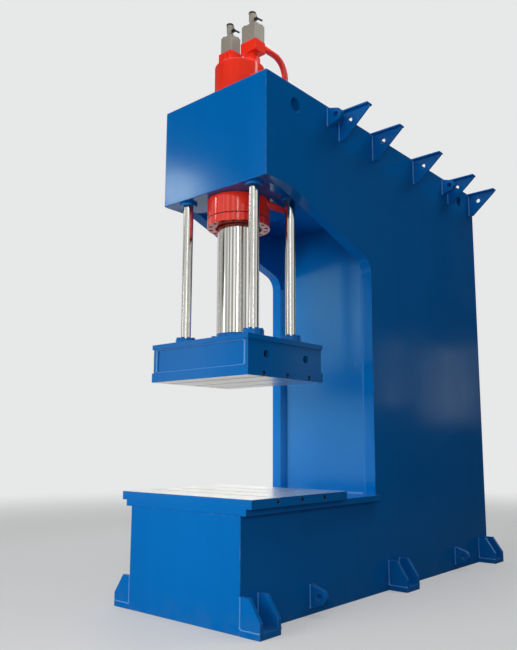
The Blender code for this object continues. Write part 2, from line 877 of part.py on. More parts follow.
def make_slide(paint, steel, parent):
    half = slide_width / 2
    plate_low = slide_top - slide_top_thickness
    top = keep("slide_top_plate", block((-half, slide_front, plate_low), (half, slide_back, slide_top)), paint,
               place(0, 0, 0), parent)
    seat = slide_top + rod_flange_height
    for spot, centre in rod_places().items():
        ring = bmesh.new()
        add_rod(ring, rod_flange_radius, slide_top - bite, seat, medium_facets, shift=(*centre, 0))
        combine(top, tool(f"rod_flange_{spot}", ring, place(0, 0, 0)), "UNION")
        places = circle_of(rod_bolt_count, rod_bolt_circle, centre)
        bolts = bolt_heads(f"rod_flange_bolts_{spot}", places, rod_bolt_radius, seat, rod_bolt_height)
        combine(top, bolts, "UNION")
    sockets = upright_holes("rod_sockets", bush_bore, slide_top, seat + overrun, list(rod_places().values()),
                            medium_facets)
    combine(top, sockets, "DIFFERENCE")

    box_half = half - slide_box_inset
    front, back = slide_front + slide_box_inset, slide_back - slide_box_inset
    low = slide_bottom + slide_bottom_thickness + seam
    high = plate_low - seam
    wall = box_half - slide_side_wall
    outline = [
        (-box_half, front),
        (-wall, front),
        (-wall, front + slide_front_recess),
        (wall, front + slide_front_recess),
        (wall, front),
        (box_half, front),
        (box_half, back),
        (wall, back),
        (wall, back - slide_front_recess),
        (-wall, back - slide_front_recess),
        (-wall, back),
        (-box_half, back),
    ]
    walls = extruded([(x, depth, low) for x, depth in outline], (0, 0, high - low))
    box = keep("slide_box", walls, paint, place(0, 0, 0), parent)
    inner_front = front + slide_front_recess + slide_cross_wall
    inner_back = back - slide_front_recess - slide_cross_wall
    wide = (2 * wall - (slide_pocket_columns - 1) * slide_rib) / slide_pocket_columns
    deep = (inner_back - inner_front - (slide_pocket_rows - 1) * slide_rib) / slide_pocket_rows
    pockets = bmesh.new()
    for column in range(slide_pocket_columns):
        for row in range(slide_pocket_rows):
            x = -wall + column * (wide + slide_rib)
            depth = inner_front + row * (deep + slide_rib)
            add_block(pockets, (x, depth, low - overrun), (x + wide, depth + deep, high + overrun))
    combine(box, tool("slide_pockets", pockets, place(0, 0, 0)), "DIFFERENCE")
    centres = [(ram_depth + end * slide_hole_spread / 2, (low + high) / 2) for end in ends.values()]
    reach = box_half + overrun
    for side, across in sides.items():
        near, far = sorted((across * (wall - overrun), across * reach))
        holes = cross_holes(f"{side}_slide_holes", slide_hole_radius, near, far, centres, medium_facets)
        combine(box, holes, "DIFFERENCE")

    bottom = slotted_plate(slide_front, slide_back, slide_bottom + slide_bottom_thickness, slide_bottom,
                           ram_depth, slide_width)
    keep("slide_bottom_plate", bottom, steel, place(0, 0, 0), parent)


def make_guide_rods(chrome, parent):
    low = slide_top + seam
    profile = [
        (0, rod_top),
        (rod_radius - rod_edge, rod_top),
        (rod_radius, rod_top - rod_edge),
        (rod_radius, low),
        (0, low),
    ]
    for spot, (x, depth) in rod_places().items():
        keep(f"guide_rod_{spot}", turned(profile, medium_facets), chrome, place(x, depth, 0), parent)


def new_group(name, location):
    made = bpy.data.objects.new(name, None)
    bpy.context.scene.collection.objects.link(made)
    made.location = location
    return made


def main():
    clear_scene()
    blue = new_material("blue_paint", (0.0, 0.12, 0.42), 0.32, 0.0)
    red = new_material("red_paint", (0.72, 0.05, 0.02), 0.35, 0.0)
    grey = new_material("valve_grey", (0.22, 0.22, 0.21), 0.5, 0.2)
    chrome = new_material("hard_chrome", (0.75, 0.75, 0.73), 0.12, 1.0)
    steel = new_material("machined_steel", (0.55, 0.55, 0.54), 0.35, 1.0)
    bronze = new_material("bronze", (0.6, 0.38, 0.16), 0.35, 1.0)

    frame = new_group("frame", place(0, 0, 0))
    slide = new_group("ram_slide", place(0, ram_depth, slide_top))
    make_side_plates(blue, frame)
    make_cross_plates(blue, frame)
    make_table(blue, steel, frame)
    make_anchor_feet(blue, frame)
    make_lugs(blue, frame)
    make_brackets(blue, frame)
    make_cylinder(red, bronze, frame)
    make_guide_bushes(blue, frame)
    make_valves(red, grey, frame)
    make_pipes(red, frame)
    make_ram(chrome, blue, slide)
    make_slide(blue, steel, slide)
    make_guide_rods(chrome, slide)


main()
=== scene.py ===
"""Looks of a single-column hydraulic press: paint, chrome, machined faces, weld beads and a plain stage.

The packed model gives every place and size. Each visible solid gets a finished piece with rounded edges that
stands for it, and nothing is moved or resized.
"""

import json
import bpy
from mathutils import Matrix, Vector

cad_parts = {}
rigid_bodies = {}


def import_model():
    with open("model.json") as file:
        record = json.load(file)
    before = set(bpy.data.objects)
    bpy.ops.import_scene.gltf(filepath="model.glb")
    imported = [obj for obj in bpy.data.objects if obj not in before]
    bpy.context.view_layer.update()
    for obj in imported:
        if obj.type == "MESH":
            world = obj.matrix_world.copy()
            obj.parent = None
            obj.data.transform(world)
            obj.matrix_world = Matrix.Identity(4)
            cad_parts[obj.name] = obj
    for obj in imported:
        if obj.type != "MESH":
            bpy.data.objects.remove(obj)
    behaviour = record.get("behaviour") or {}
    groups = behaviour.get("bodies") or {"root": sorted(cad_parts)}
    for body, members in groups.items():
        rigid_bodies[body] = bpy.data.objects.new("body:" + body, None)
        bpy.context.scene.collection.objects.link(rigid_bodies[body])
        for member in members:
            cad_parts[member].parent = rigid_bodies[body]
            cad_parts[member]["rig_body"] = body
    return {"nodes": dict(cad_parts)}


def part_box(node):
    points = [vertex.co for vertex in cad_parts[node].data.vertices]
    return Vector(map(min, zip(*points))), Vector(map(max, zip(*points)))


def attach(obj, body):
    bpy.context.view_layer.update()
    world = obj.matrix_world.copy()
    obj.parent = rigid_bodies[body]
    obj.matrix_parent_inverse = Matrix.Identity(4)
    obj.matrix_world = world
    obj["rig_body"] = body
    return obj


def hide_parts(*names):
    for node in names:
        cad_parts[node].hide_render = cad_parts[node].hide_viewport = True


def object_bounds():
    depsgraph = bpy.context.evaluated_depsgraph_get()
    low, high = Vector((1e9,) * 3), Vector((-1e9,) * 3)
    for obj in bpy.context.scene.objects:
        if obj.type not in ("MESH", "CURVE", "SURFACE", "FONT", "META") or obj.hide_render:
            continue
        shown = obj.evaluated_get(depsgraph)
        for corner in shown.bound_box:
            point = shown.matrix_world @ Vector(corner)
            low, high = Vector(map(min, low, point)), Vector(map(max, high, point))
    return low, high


bl_info = {
    "name": "Hydraulic Press Looks",
    "version": (1, 0, 0),
    "blender": (4, 5, 0),
    "location": "3D View > Sidebar > Press",
    "description": "Finishes a single-column hydraulic press with enamel, chrome, weld beads and fasteners",
    "category": "Object",
}

from math import cos, exp, pi, radians, sin

import bmesh
import bpy
from bpy.props import FloatProperty, FloatVectorProperty, IntProperty, PointerProperty
from mathutils import Matrix, Vector, noise

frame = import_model()
cad_low, cad_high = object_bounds()

low = {node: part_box(node)[0] for node in frame["nodes"]}
high = {node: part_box(node)[1] for node in frame["nodes"]}
middle = {node: (low[node] + high[node]) / 2 for node in frame["nodes"]}

# Places read from the packed model
ram_x, ram_y = middle["plunger"].x, middle["plunger"].y
plate_inner = low["right_side_plate"].x
plate_outer = high["right_side_plate"].x
floor_z = low["base_front_plate"].z
sides = {"left": -1, "right": 1}
ends = ("front", "rear")

# The photograph's frame and the camera that was solved from it
photo_width = 517
photo_height = 650
focal_pixels = 684.15
principal_x = 277.23
principal_y = 337.52
camera_yaw = -0.70144
camera_pitch = 0.15243
camera_x = 4.918
camera_depth = -4.441
camera_height = 1.619
sensor_width = 36.0

# Sizes of the pieces that are turned afresh
piston_step = 0.0096
piston_height = 0.140
groove_margin = 0.028
groove_width = 0.014
groove_depth = 0.010
barrel_radius = 0.280
end_thickness = 0.120
port_radius = 0.040
port_root = 0.085
fit_gap = 0.0003

# Sizes that the beads and screws follow
gusset_thickness = 0.042
foot_plate_thickness = 0.055
box_post = 0.045
box_recess = 0.015
web_half = 0.010
flange_thickness = 0.020
column_weld_drop = 0.638
gland_bolt_circle = 0.302
gland_bolt_count = 16
gland_recess = 0.020
gland_screw_radius = 0.0175
screw_sink = 0.005
split_sink = 0.0005
cover_screw_height = 0.020
pilot_cap_height = 0.024
connector_height = 0.085
connector_bury = 0.012
connector_size = (0.050, 0.030, 0.026)
pin_radius = 0.004
pin_height = 0.050
lead_radius = 0.011
lead_length = 0.085
lead_tilt = radians(-50)

# The hall that glossy surfaces mirror: its light and the even light from all round, how many bays stand
# round it, and places in it in degrees, each with its centre, half width, height, half height and softness
hall_colour = (0.98, 0.99, 1.0)
even_colour = (0.94, 0.97, 1.0)
bay_count = 20
roof_rise = (radians(22), radians(30))
roof_glow = 0.14
bay_dimming = 0.95
dim_bays = (
    (52, 19, 8, 24, 6),
    (-136.5, 5.0, 24, 13, 2.5),
    (-125.4, 1.9, 4.6, 1.4, 1.6),
)
bright_windows = (
    (14.0, (-139.0, 2.2, 20.4, 1.3, 3.4)),
    (1.1, (128, 14, 4, 6, 8)),
    (5.0, (-126.3, 0.9, 10.8, 2.2, 1.6)),
    (5.0, (-124.0, 0.8, 11.0, 3.0, 1.4)),
    (1.0, (-126.0, 3.0, 1.2, 1.6, 1.6)),
    (0.5, (59.2, 1.1, 5.8, 2.7, 1.0)),
    (0.55, (64.1, 2.1, 4.6, 3.0, 1.2)),
    (0.5, (52.5, 1.6, 7.0, 2.0, 1.6)),
    (6.0, (-50, 1.4, 6, 17, 2)),
    (4.0, (34, 6, 32, 8, 4)),
    (2.5, (130, 14, 31, 9, 6)),
)

# The floor, in metres from its middle, and the headings where what it shows to glossy pieces differs
floor_reach = 400.0
floor_shade = 0.97
seen_edge = (6.0, 17.0)
mirrored_edge = (12.0, 24.0)
lit_edge = (3.5, 7.0)
dark_distance = (52, 30, 0, 90, 12)
dark_floor = (-34, 116, 0, 90, 12)
lit_floor = (134, 28, 0, 90, 10)
floor_bounce = (0.22, 0.22, 0.22)
floor_mirrored = (0.64, 0.64, 0.63)
floor_mirrored_dark = (0.07, 0.07, 0.07)

# Sockets of a node group by the length of their values, and the colour that stands in for one
socket_kinds = {3: "NodeSocketVector", 4: "NodeSocketColor"}
mid_grey = (0.5, 0.5, 0.5, 1)

# Dust, haze and the enamel's rounded corners, lightened partly for abrasion and partly as a painted highlight
dust_colour = (0.200, 0.190, 0.175)
scuff_height = 0.25
wear_and_highlight_tint = 0.55
wear_and_highlight_white = 0.25
haze_roughness = 0.06
dust_roughness = 0.35

# Meshing
merge_gap = 0.00002
flat_angle = radians(0.5)
corner_angle = radians(28)
smooth_angle = radians(38)
seam_gap = 0.002
rim_layer = "rim"
bead_sides = 10
ripple_rings = 3
blob_share = 0.35
bead_spread = 3
bead_wander = 4
weld_pass_points = 6
weld_crown = 0.004
weld_valley = 0.0035
weld_ripple = 0.0012
weld_drift = Vector((40, 1, 2))
weld_grain = 25


def colour_setting(name, description, default):
    return FloatVectorProperty(name=name, description=description, default=default, subtype="COLOR",
                               min=0, max=1)


def share_setting(name, description, default, most=1):
    return FloatProperty(name=name, description=description, min=0, max=most, default=default)


def count_setting(name, description, default, least):
    return IntProperty(name=name, description=description, default=default, min=least)


def length_setting(name, description, default):
    return FloatProperty(name=name, description=description, unit="LENGTH", default=default)


def power_setting(name, description, default):
    return FloatProperty(name=name, description=description, unit="POWER", min=0, default=default)


class PressPaintSettings(bpy.types.PropertyGroup):
    """Colours and film of the paints"""

    blue: colour_setting("Blue", "Enamel on the frame and the slide", (0.0005, 0.150, 0.500))
    # The beads' blue is lighter than the plates' blue as a painted highlight for the light that round beads
    # catch
    bead: colour_setting("Bead Blue Painted Highlight", "Enamel on the weld beads, thick and wet-looking over the ripples",
                         (0.080, 0.300, 0.720))
    red: colour_setting("Red", "Enamel on the cylinder, the gland and the pipes", (0.930, 0.034, 0.012))
    grey: colour_setting("Grey", "Coating on the valve blocks", (0.290, 0.266, 0.218))
    gloss: share_setting("Paint Roughness", "Roughness of clean enamel", 0.09)
    tone: share_setting("Tone", "How much the enamel's shade wanders over a plate", 0.05)
    waviness: length_setting("Waviness", "Height of the slow waves of a painted plate", 0.0016)
    peel: length_setting("Orange Peel", "Height of the film's fine dimples", 0.00006)


class PressEdgeSettings(bpy.types.PropertyGroup):
    """How far the corners of each kind of piece are rounded"""

    plate: length_setting("Plate Corner", "Rounding of the frame's thick plates", 0.007)
    fitting: length_setting("Fitting Corner", "Rounding of feet, lugs and brackets", 0.0035)
    split: length_setting("Flange Chamfer", "Chamfer that shows the split between flange and gland", 0.009)
    machined: length_setting("Machined Corner", "Chamfer of machined plates and blocks", 0.002)


class PressWeldSettings(bpy.types.PropertyGroup):
    """Size and ripple of the weld beads"""

    heavy: length_setting("Heavy Bead", "Radius of the bead at the column's foot", 0.013)
    light: length_setting("Light Bead", "Radius of the beads on feet and lugs", 0.0095)
    slide: length_setting("Slide Bead", "Radius of the beads on the slide's front and back", 0.0125)
    thin: length_setting("Thin Bead", "Radius of the beads on the brackets", 0.0095)
    leg: length_setting("Column Leg", "Leg of the wide weld beside the column's plate", 0.056)
    passes: count_setting("Column Passes", "Passes side by side in the wide weld", 4, least=1)
    pitch: length_setting("Ripple Pitch", "Distance between a bead's ripples", 0.014)
    ripple: share_setting("Ripple", "Height of the ripples as a share of the radius", 0.09, most=0.5)


class PressTurnedSettings(bpy.types.PropertyGroup):
    """Fineness of the round pieces"""

    large: count_setting("Large Steps", "Faces round the ram and cylinder", 128, least=24)
    small: count_setting("Small Steps", "Faces round the rods and the port", 64, least=16)
    tiny: count_setting("Tiny Steps", "Faces round screws, pins and leads", 24, least=8)


class PressStageSettings(bpy.types.PropertyGroup):
    """Floor, backdrop and lamps"""

    floor: colour_setting("Floor", "Colour of the studio floor", (0.740, 0.740, 0.730))
    backdrop: colour_setting("Backdrop", "Colour behind the press", (0.800, 0.805, 0.810))
    ambient: share_setting("Ambient", "Strength of the even light from all round", 0.07)
    key: power_setting("Key", "Power of the large lamp at the front left", 1110)
    low: power_setting("Low Key", "Power of the lamp near the base's front", 9)
    throat: power_setting("Throat", "Power of the small lamp that lights the column from the left", 27)
    valves: power_setting("Valves", "Power of the narrow beam on the valves' right faces", 2.4)
    fill: power_setting("Fill", "Power of the weak lamp at the front right", 195)
    sky: power_setting("Overhead", "Power of the overhead lamp", 640)
    window: power_setting("Window", "Power of the high window at the back right", 230)


# Shader node helpers


def new_tree_group(name, inputs, outputs):
    """An empty node group, its given sockets and its results. Each socket's kind follows from its value."""
    group = bpy.data.node_groups.new(name, "ShaderNodeTree")
    for side, sockets in (("INPUT", inputs), ("OUTPUT", outputs)):
        for label, value in sockets.items():
            kind = socket_kinds[len(value)] if isinstance(value, tuple) else "NodeSocketFloat"
            group.interface.new_socket(name=label, in_out=side, socket_type=kind).default_value = value
    return group, group.nodes.new("NodeGroupInput").outputs, group.nodes.new("NodeGroupOutput").inputs


def spread_out(tree):
    """Set a tree's nodes apart in the order in which they were made."""
    column_width = 220
    for place, node in enumerate(tree.nodes):
        node.location = (column_width * place, 0)


def add_noise(tree, vector, scale, detail, roughness=0.5):
    """A cloudy pattern from 0 to 1."""
    node = tree.nodes.new("ShaderNodeTexNoise")
    node.inputs["Scale"].default_value = scale
    node.inputs["Detail"].default_value = detail
    node.inputs["Roughness"].default_value = roughness
    tree.links.new(vector, node.inputs["Vector"])
    return node.outputs["Fac"]


def stretched(tree, vector, scale):
    """Coordinates scaled differently along each axis, so a pattern on them is drawn out."""
    node = tree.nodes.new("ShaderNodeMapping")
    node.inputs["Scale"].default_value = scale
    tree.links.new(vector, node.inputs["Vector"])
    return node.outputs["Vector"]


def ranged(tree, value, before=(0.0, 1.0), after=(0.0, 1.0), eased=False):
    """A value carried from one range to another, and held inside it."""
    node = tree.nodes.new("ShaderNodeMapRange")
    if eased:
        node.interpolation_type = "SMOOTHSTEP"
    tree.links.new(value, node.inputs["Value"])
    node.inputs["From Min"].default_value, node.inputs["From Max"].default_value = before
    node.inputs["To Min"].default_value, node.inputs["To Max"].default_value = after
    return node.outputs["Result"]


def calculated(tree, operation, first, second=0.0):
    """Arithmetic on sockets or numbers."""
    node = tree.nodes.new("ShaderNodeMath")
    node.operation = operation
    for socket, given in zip(node.inputs, (first, second)):
        if isinstance(given, (int, float)):
            socket.default_value = given
        else:
            tree.links.new(given, socket)
    return node.outputs["Value"]


def product(tree, first, *others):
    """Sockets or numbers multiplied together."""
    for other in others:
        first = calculated(tree, "MULTIPLY", first, other)
    return first


def scaled(tree, vector, factor):
    """A vector or colour times a factor."""
    node = tree.nodes.new("ShaderNodeVectorMath")
    node.operation = "SCALE"
    tree.links.new(vector, node.inputs[0])
    tree.links.new(factor, node.inputs["Scale"])
    return node.outputs["Vector"]


def parts_of(tree, vector):
    """The three outputs of a vector: X, Y and Z."""
    node = tree.nodes.new("ShaderNodeSeparateXYZ")
    tree.links.new(vector, node.inputs["Vector"])
    return node.outputs


def blended(tree, share, first, second):
    """Two colours mixed by a share. Each colour is a socket or a colour."""
    node = tree.nodes.new("ShaderNodeMix")
    node.data_type = "RGBA"
    tree.links.new(share, node.inputs[0])
    for socket, given in ((node.inputs[6], first), (node.inputs[7], second)):
        if isinstance(given, bpy.types.NodeSocket):
            tree.links.new(given, socket)
        else:
            socket.default_value = (*given, 1)
    return node.outputs[2]


def closed(group, results, **values):
    """A node tree, once its values are linked to the sockets that take its results."""
    for label, value in values.items():
        group.links.new(value, results[label])
    spread_out(group)
    return group


def paint_film_group():
    """Enamel's slow changes of shade, its runs, its dimples and the waves of the plate under it."""
    contrast = 4.0
    group, given, results = new_tree_group(
        "Paint Film",
        {"Vector": (0, 0, 0), "Colour": mid_grey, "Tone": 0.1, "Waviness": 0.001, "Peel": 0.0001},
        {"Colour": mid_grey, "Haze": 0.0, "Height": 0.0},
    )
    place = given["Vector"]
    cloud = add_noise(group, place, scale=0.9, detail=4.0)
    runs = add_noise(group, stretched(group, place, (5.0, 5.0, 0.5)), scale=1.2, detail=3.0)
    shade = product(group, calculated(group, "ADD", cloud, runs), 0.5)
    swing = product(group, calculated(group, "SUBTRACT", shade, 0.5), given["Tone"], contrast)
    tint = scaled(group, given["Colour"], calculated(group, "ADD", 1.0, swing))
    patches = add_noise(group, place, scale=2.3, detail=5.0, roughness=0.6)
    haze = ranged(group, patches, before=(0.35, 0.75))
    waves = product(group, add_noise(group, place, scale=1.3, detail=1.0), given["Waviness"])
    dimples = product(group, add_noise(group, place, scale=160.0, detail=1.0), given["Peel"])
    height = calculated(group, "ADD", waves, dimples)
    return closed(group, results, Colour=tint, Haze=haze, Height=height)


def edge_wear_and_highlight_group():
    """Where a rounded corner is lightened, partly for abrasion and partly as a painted highlight: the
    corner's own faces, broken up by noise.
    """
    group, given, results = new_tree_group("Edge Wear And Highlight", {"Vector": (0, 0, 0), "Amount": 0.5}, {"Mask": 0.0})
    rim = group.nodes.new("ShaderNodeAttribute")
    rim.attribute_name = rim_layer
    cloud = add_noise(group, given["Vector"], scale=9.0, detail=6.0, roughness=0.65)
    patch = ranged(group, cloud, before=(0.45, 0.62))
    return closed(group, results, Mask=product(group, rim.outputs["Fac"], patch, given["Amount"]))


def shop_dust_group():
    """Dust that lies on upward faces, and scuffs near the floor."""
    group, given, results = new_tree_group(
        "Shop Dust",
        {"Vector": (0, 0, 0), "Normal": (0, 0, 1), "Settled": 0.3, "Scuffed": 0.3, "Scuff Height": 0.3},
        {"Mask": 0.0},
    )
    place = given["Vector"]
    upward = ranged(group, parts_of(group, given["Normal"])["Z"], before=(0.6, 0.95))
    share = calculated(group, "DIVIDE", parts_of(group, place)["Z"], given["Scuff Height"])
    lowness = ranged(group, share, after=(1.0, 0.0))
    cloud = add_noise(group, place, scale=5.5, detail=7.0, roughness=0.7)
    patches = ranged(group, cloud, before=(0.42, 0.72))
    lying = product(group, upward, given["Settled"])
    scuffed = product(group, lowness, given["Scuffed"])
    return closed(group, results, Mask=product(group, calculated(group, "ADD", lying, scuffed), patches))


def cutter_grain_group():
    """Fine parallel tool marks drawn out along one direction, with their own brightness and height."""
    group, given, results = new_tree_group(
        "Cutter Grain", {"Vector": (0, 0, 0)}, {"Shade": 0.0, "Height": 0.0}
    )
    fine = add_noise(group, given["Vector"], scale=40.0, detail=4.0, roughness=0.7)
    broad = add_noise(group, given["Vector"], scale=7.0, detail=2.0)
    shade = product(group, calculated(group, "ADD", fine, broad), 0.5)
    return closed(group, results, Shade=shade, Height=fine)


group_makers = {
    "Paint Film": paint_film_group,
    "Edge Wear And Highlight": edge_wear_and_highlight_group,
    "Shop Dust": shop_dust_group,
    "Cutter Grain": cutter_grain_group,
}
groups = {}


def place_group(tree, name, **values):
    """Put a shared group into a material, built at its first use. Values are sockets to link or numbers."""
    if name not in groups:
        groups[name] = group_makers[name]()
    node = tree.nodes.new("ShaderNodeGroup")
    node.node_tree = groups[name]
    for label, given in values.items():
        socket = node.inputs[label.replace("_", " ")]
        if isinstance(given, bpy.types.NodeSocket):
            tree.links.new(given, socket)
        else:
            socket.default_value = given
    return node


def new_material(name, metallic=0.0):
    """A material, its nodes, and the coordinates that its patterns follow."""
    material = bpy.data.materials.new(name)
    material.use_nodes = True
    tree = material.node_tree
    tree.nodes["Principled BSDF"].inputs["Metallic"].default_value = metallic
    return material, tree, tree.nodes.new("ShaderNodeTexCoord").outputs


def dressed(material, colour, roughness, height, depth):
    """A material with its colour, roughness and relief linked to its shader."""
    tree = material.node_tree
    relief = tree.nodes.new("ShaderNodeBump")
    relief.inputs["Distance"].default_value = depth
    tree.links.new(height, relief.inputs["Height"])
    values = {"Base Color": colour, "Roughness": roughness, "Normal": relief.outputs["Normal"]}
    closed(tree, tree.nodes["Principled BSDF"].inputs, **values)
    return material


def enamel(name, colour, roughness, tone, waviness=0.0, peel=0.0, settled=0.0, scuffed=0.0, wear_and_highlight_amount=0.0,
           shine=0.8, sheen=(1, 1, 1)):
    """Glossy enamel with its film, dust, and corners lightened partly for abrasion and partly as a painted
    highlight.
    """
    material, tree, coordinates = new_material(name)
    shader = tree.nodes["Principled BSDF"]
    shader.inputs["Specular IOR Level"].default_value = shine
    shader.inputs["Specular Tint"].default_value = (*sheen, 1)
    place = coordinates["Object"]
    film = place_group(tree, "Paint Film", Vector=place, Colour=(*colour, 1), Tone=tone, Waviness=waviness,
                       Peel=peel)
    wear_and_highlight = place_group(tree, "Edge Wear And Highlight", Vector=place, Amount=wear_and_highlight_amount)
    dust = place_group(tree, "Shop Dust", Vector=place, Normal=coordinates["Normal"], Settled=settled,
                       Scuffed=scuffed, Scuff_Height=scuff_height)
    # Paler colour on the rounded corners: partly abrasion, partly a painted highlight along the edges
    pale = tuple(wear_and_highlight_tint * c + wear_and_highlight_white for c in colour)
    wear_and_highlight_colour = blended(tree, wear_and_highlight.outputs["Mask"], film.outputs["Colour"], pale)
    dusted = blended(tree, dust.outputs["Mask"], wear_and_highlight_colour, dust_colour)
    hazed = ranged(tree, film.outputs["Haze"], after=(roughness, roughness + haze_roughness))
    dulled = calculated(tree, "ADD", hazed, product(tree, dust.outputs["Mask"], dust_roughness))
    return dressed(material, dusted, dulled, film.outputs["Height"], depth=1.0)


def plate_enamel(name, roughness, shine, sheen):
    """The blue of the frame's and the slide's plates."""
    paint = bpy.context.scene.press_paint
    return enamel(name, paint.blue, roughness, paint.tone, paint.waviness, paint.peel, settled=0.20,
                  scuffed=0.12, wear_and_highlight_amount=0.20, shine=shine, sheen=sheen)


def blue_enamel():
    gloss = bpy.context.scene.press_paint.gloss
    return plate_enamel("Blue Enamel", gloss, shine=0.3, sheen=(0.70, 1.0, 0.97))


def column_enamel():
    """The column's front, rolled on: the same blue with a softer gloss."""
    return plate_enamel("Rolled Blue Enamel", roughness=0.22, shine=0.8, sheen=(0.50, 1.0, 1.0))


def bead_highlight_enamel():
    # A lighter blue than the plates', standing as a painted highlight on the beads
    paint = bpy.context.scene.press_paint
    return enamel("Bead Enamel Painted Highlight", paint.bead, roughness=0.16, tone=paint.tone, peel=paint.peel)


def red_enamel():
    paint = bpy.context.scene.press_paint
    return enamel("Red Enamel", paint.red, paint.gloss, tone=0.08, waviness=0.0002, peel=paint.peel,
                  settled=0.10, wear_and_highlight_amount=0.25)


def valve_coating():
    """Satin grey coating over machined blocks."""
    paint = bpy.context.scene.press_paint
    return enamel("Valve Coating", paint.grey, roughness=0.34, tone=0.14, peel=0.0002, settled=0.15,
                  wear_and_highlight_amount=0.55)


def hard_chrome():
    """Ground hard chrome with a thin film of oil."""
    material, tree, coordinates = new_material("Hard Chrome", metallic=1.0)
    place = coordinates["Object"]
    rings = place_group(tree, "Cutter Grain", Vector=stretched(tree, place, (0.4, 0.4, 9.0)))
    film = add_noise(tree, stretched(tree, place, (7.0, 7.0, 0.6)), scale=2.0, detail=4.0)
    smear = ranged(tree, film, before=(0.35, 0.7))
    colour = blended(tree, smear, (0.83, 0.815, 0.765), (0.72, 0.705, 0.65))
    roughness = ranged(tree, smear, after=(0.07, 0.17))
    return dressed(material, colour, roughness, rings.outputs["Height"], depth=0.00002)


def machined_steel(name="Machined Steel", bright=0.93, dull=0.74):
    """Milled plate: cutter lines along the slots, small stains and a thin film of oil."""
    material, tree, coordinates = new_material(name, metallic=0.8)
    place = coordinates["Object"]
    grain = place_group(tree, "Cutter Grain", Vector=stretched(tree, place, (0.15, 3.0, 3.0)))
    cloud = add_noise(tree, place, scale=6.0, detail=6.0, roughness=0.7)
    stains = ranged(tree, cloud, before=(0.52, 0.70), after=(0.0, 0.5))
    light, dark = (bright, bright * 0.98, bright * 0.91), (dull, dull * 0.98, dull * 0.90)
    metal = blended(tree, grain.outputs["Shade"], dark, light)
    stained = blended(tree, stains, metal, (0.50, 0.475, 0.43))
    roughness = ranged(tree, grain.outputs["Shade"], before=(0.3, 0.7), after=(0.24, 0.38))
    return dressed(material, stained, roughness, grain.outputs["Height"], depth=0.0004)


def shaded_slot_steel():
    """The milled walls of the T-slots, made darker as painted shade inside the slots."""
    return machined_steel("Shaded Slot Steel", bright=0.24, dull=0.12)


def black_oxide_and_split_shade():
    """Blackened steel of the screws and connectors, also used for the dark ring of painted shade in the
    flange's split.
    """
    material, tree, coordinates = new_material("Black Oxide And Split Shade", metallic=0.7)
    mottle = add_noise(tree, coordinates["Object"], scale=60.0, detail=4.0)
    colour = blended(tree, mottle, (0.012, 0.012, 0.013), (0.060, 0.058, 0.055))
    roughness = ranged(tree, mottle, before=(0.3, 0.7), after=(0.32, 0.55))
    return dressed(material, colour, roughness, mottle, depth=0.0002)


def bearing_bronze():
    """Bored bronze with its turning rings."""
    material, tree, coordinates = new_material("Bearing Bronze", metallic=1.0)
    place = coordinates["Object"]
    rings = place_group(tree, "Cutter Grain", Vector=stretched(tree, place, (0.5, 0.5, 8.0)))
    colour = blended(tree, rings.outputs["Shade"], (0.42, 0.24, 0.09), (0.66, 0.42, 0.19))
    roughness = ranged(tree, rings.outputs["Shade"], before=(0.3, 0.7), after=(0.25, 0.40))
    return dressed(material, colour, roughness, rings.outputs["Height"], depth=0.0001)


material_makers = {
    "blue": blue_enamel,
    "column": column_enamel,
    "bead": bead_highlight_enamel,
    "red": red_enamel,
    "grey": valve_coating,
    "chrome": hard_chrome,
    "steel": machined_steel,
    "shaded_slot": shaded_slot_steel,
    "oxide": black_oxide_and_split_shade,
    "bronze": bearing_bronze,
}
materials = {}


def finish_of(name):
    """A material, built the first time that it is asked for."""
    if name not in materials:
        materials[name] = material_makers[name]()
    return materials[name]


# Mesh helpers


def taken(node):
    """A merged copy of a solid's mesh, with its flat faces made whole."""
    bm = bmesh.new()
    bm.from_mesh(frame["nodes"][node].data)
    bmesh.ops.remove_doubles(bm, verts=bm.verts, dist=merge_gap)
    bmesh.ops.dissolve_limit(bm, angle_limit=flat_angle, verts=bm.verts, edges=bm.edges)
    return bm


def soften(bm, width, segments=2, skip=None):
    """Round the corners of a mesh, apart from those that skip names, and mark the new faces."""
    rim = bm.faces.layers.float.get(rim_layer) or bm.faces.layers.float.new(rim_layer)
    corners = [
        edge
        for edge in bm.edges
        if len(edge.link_faces) == 2 and edge.calc_face_angle() > corner_angle and not (skip and skip(edge))
    ]
    made = bmesh.ops.bevel(bm, geom=corners, affect="EDGES", offset=width, offset_type="OFFSET", profile=0.5,
                           segments=segments, clamp_overlap=True, material=-1)
    for face in made["faces"]:
        face[rim] = 1
    return bm


def keep(name, bm, finishes, body, stands_for=()):
    """Store a mesh as a finished piece that rides on a body."""
    mesh = bpy.data.meshes.new(name)
    bm.to_mesh(mesh)
    bm.free()
    mesh.shade_smooth()
    mesh.set_sharp_from_angle(angle=smooth_angle)
    for finish in finishes:
        mesh.materials.append(finish_of(finish))
    piece = bpy.data.objects.new(name, mesh)
    bpy.context.scene.collection.objects.link(piece)
    weighted = piece.modifiers.new("Weighted Normals", "WEIGHTED_NORMAL")
    weighted.keep_sharp = True
    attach(piece, body)
    if stands_for:
        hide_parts(*stands_for)
    return piece


def on_plane(edge, axis, value):
    """Whether both ends of an edge lie on one plane, as the seam between two plates does."""
    return all(abs(vert.co[axis] - value) < seam_gap for vert in edge.verts)


def finish_node(node, width, finishes=("blue",), skip=None, rule=None):
    """Stand a rounded copy of a solid in its place. A rule picks each face's finish."""
    bm = soften(taken(node), width, skip=skip)
    for face in bm.faces:
        face.material_index = rule(face) if rule else 0
    return keep(f"{node}_finish", bm, finishes, body_of(node), [node])


def body_of(node):
    return frame["nodes"][node]["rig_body"]


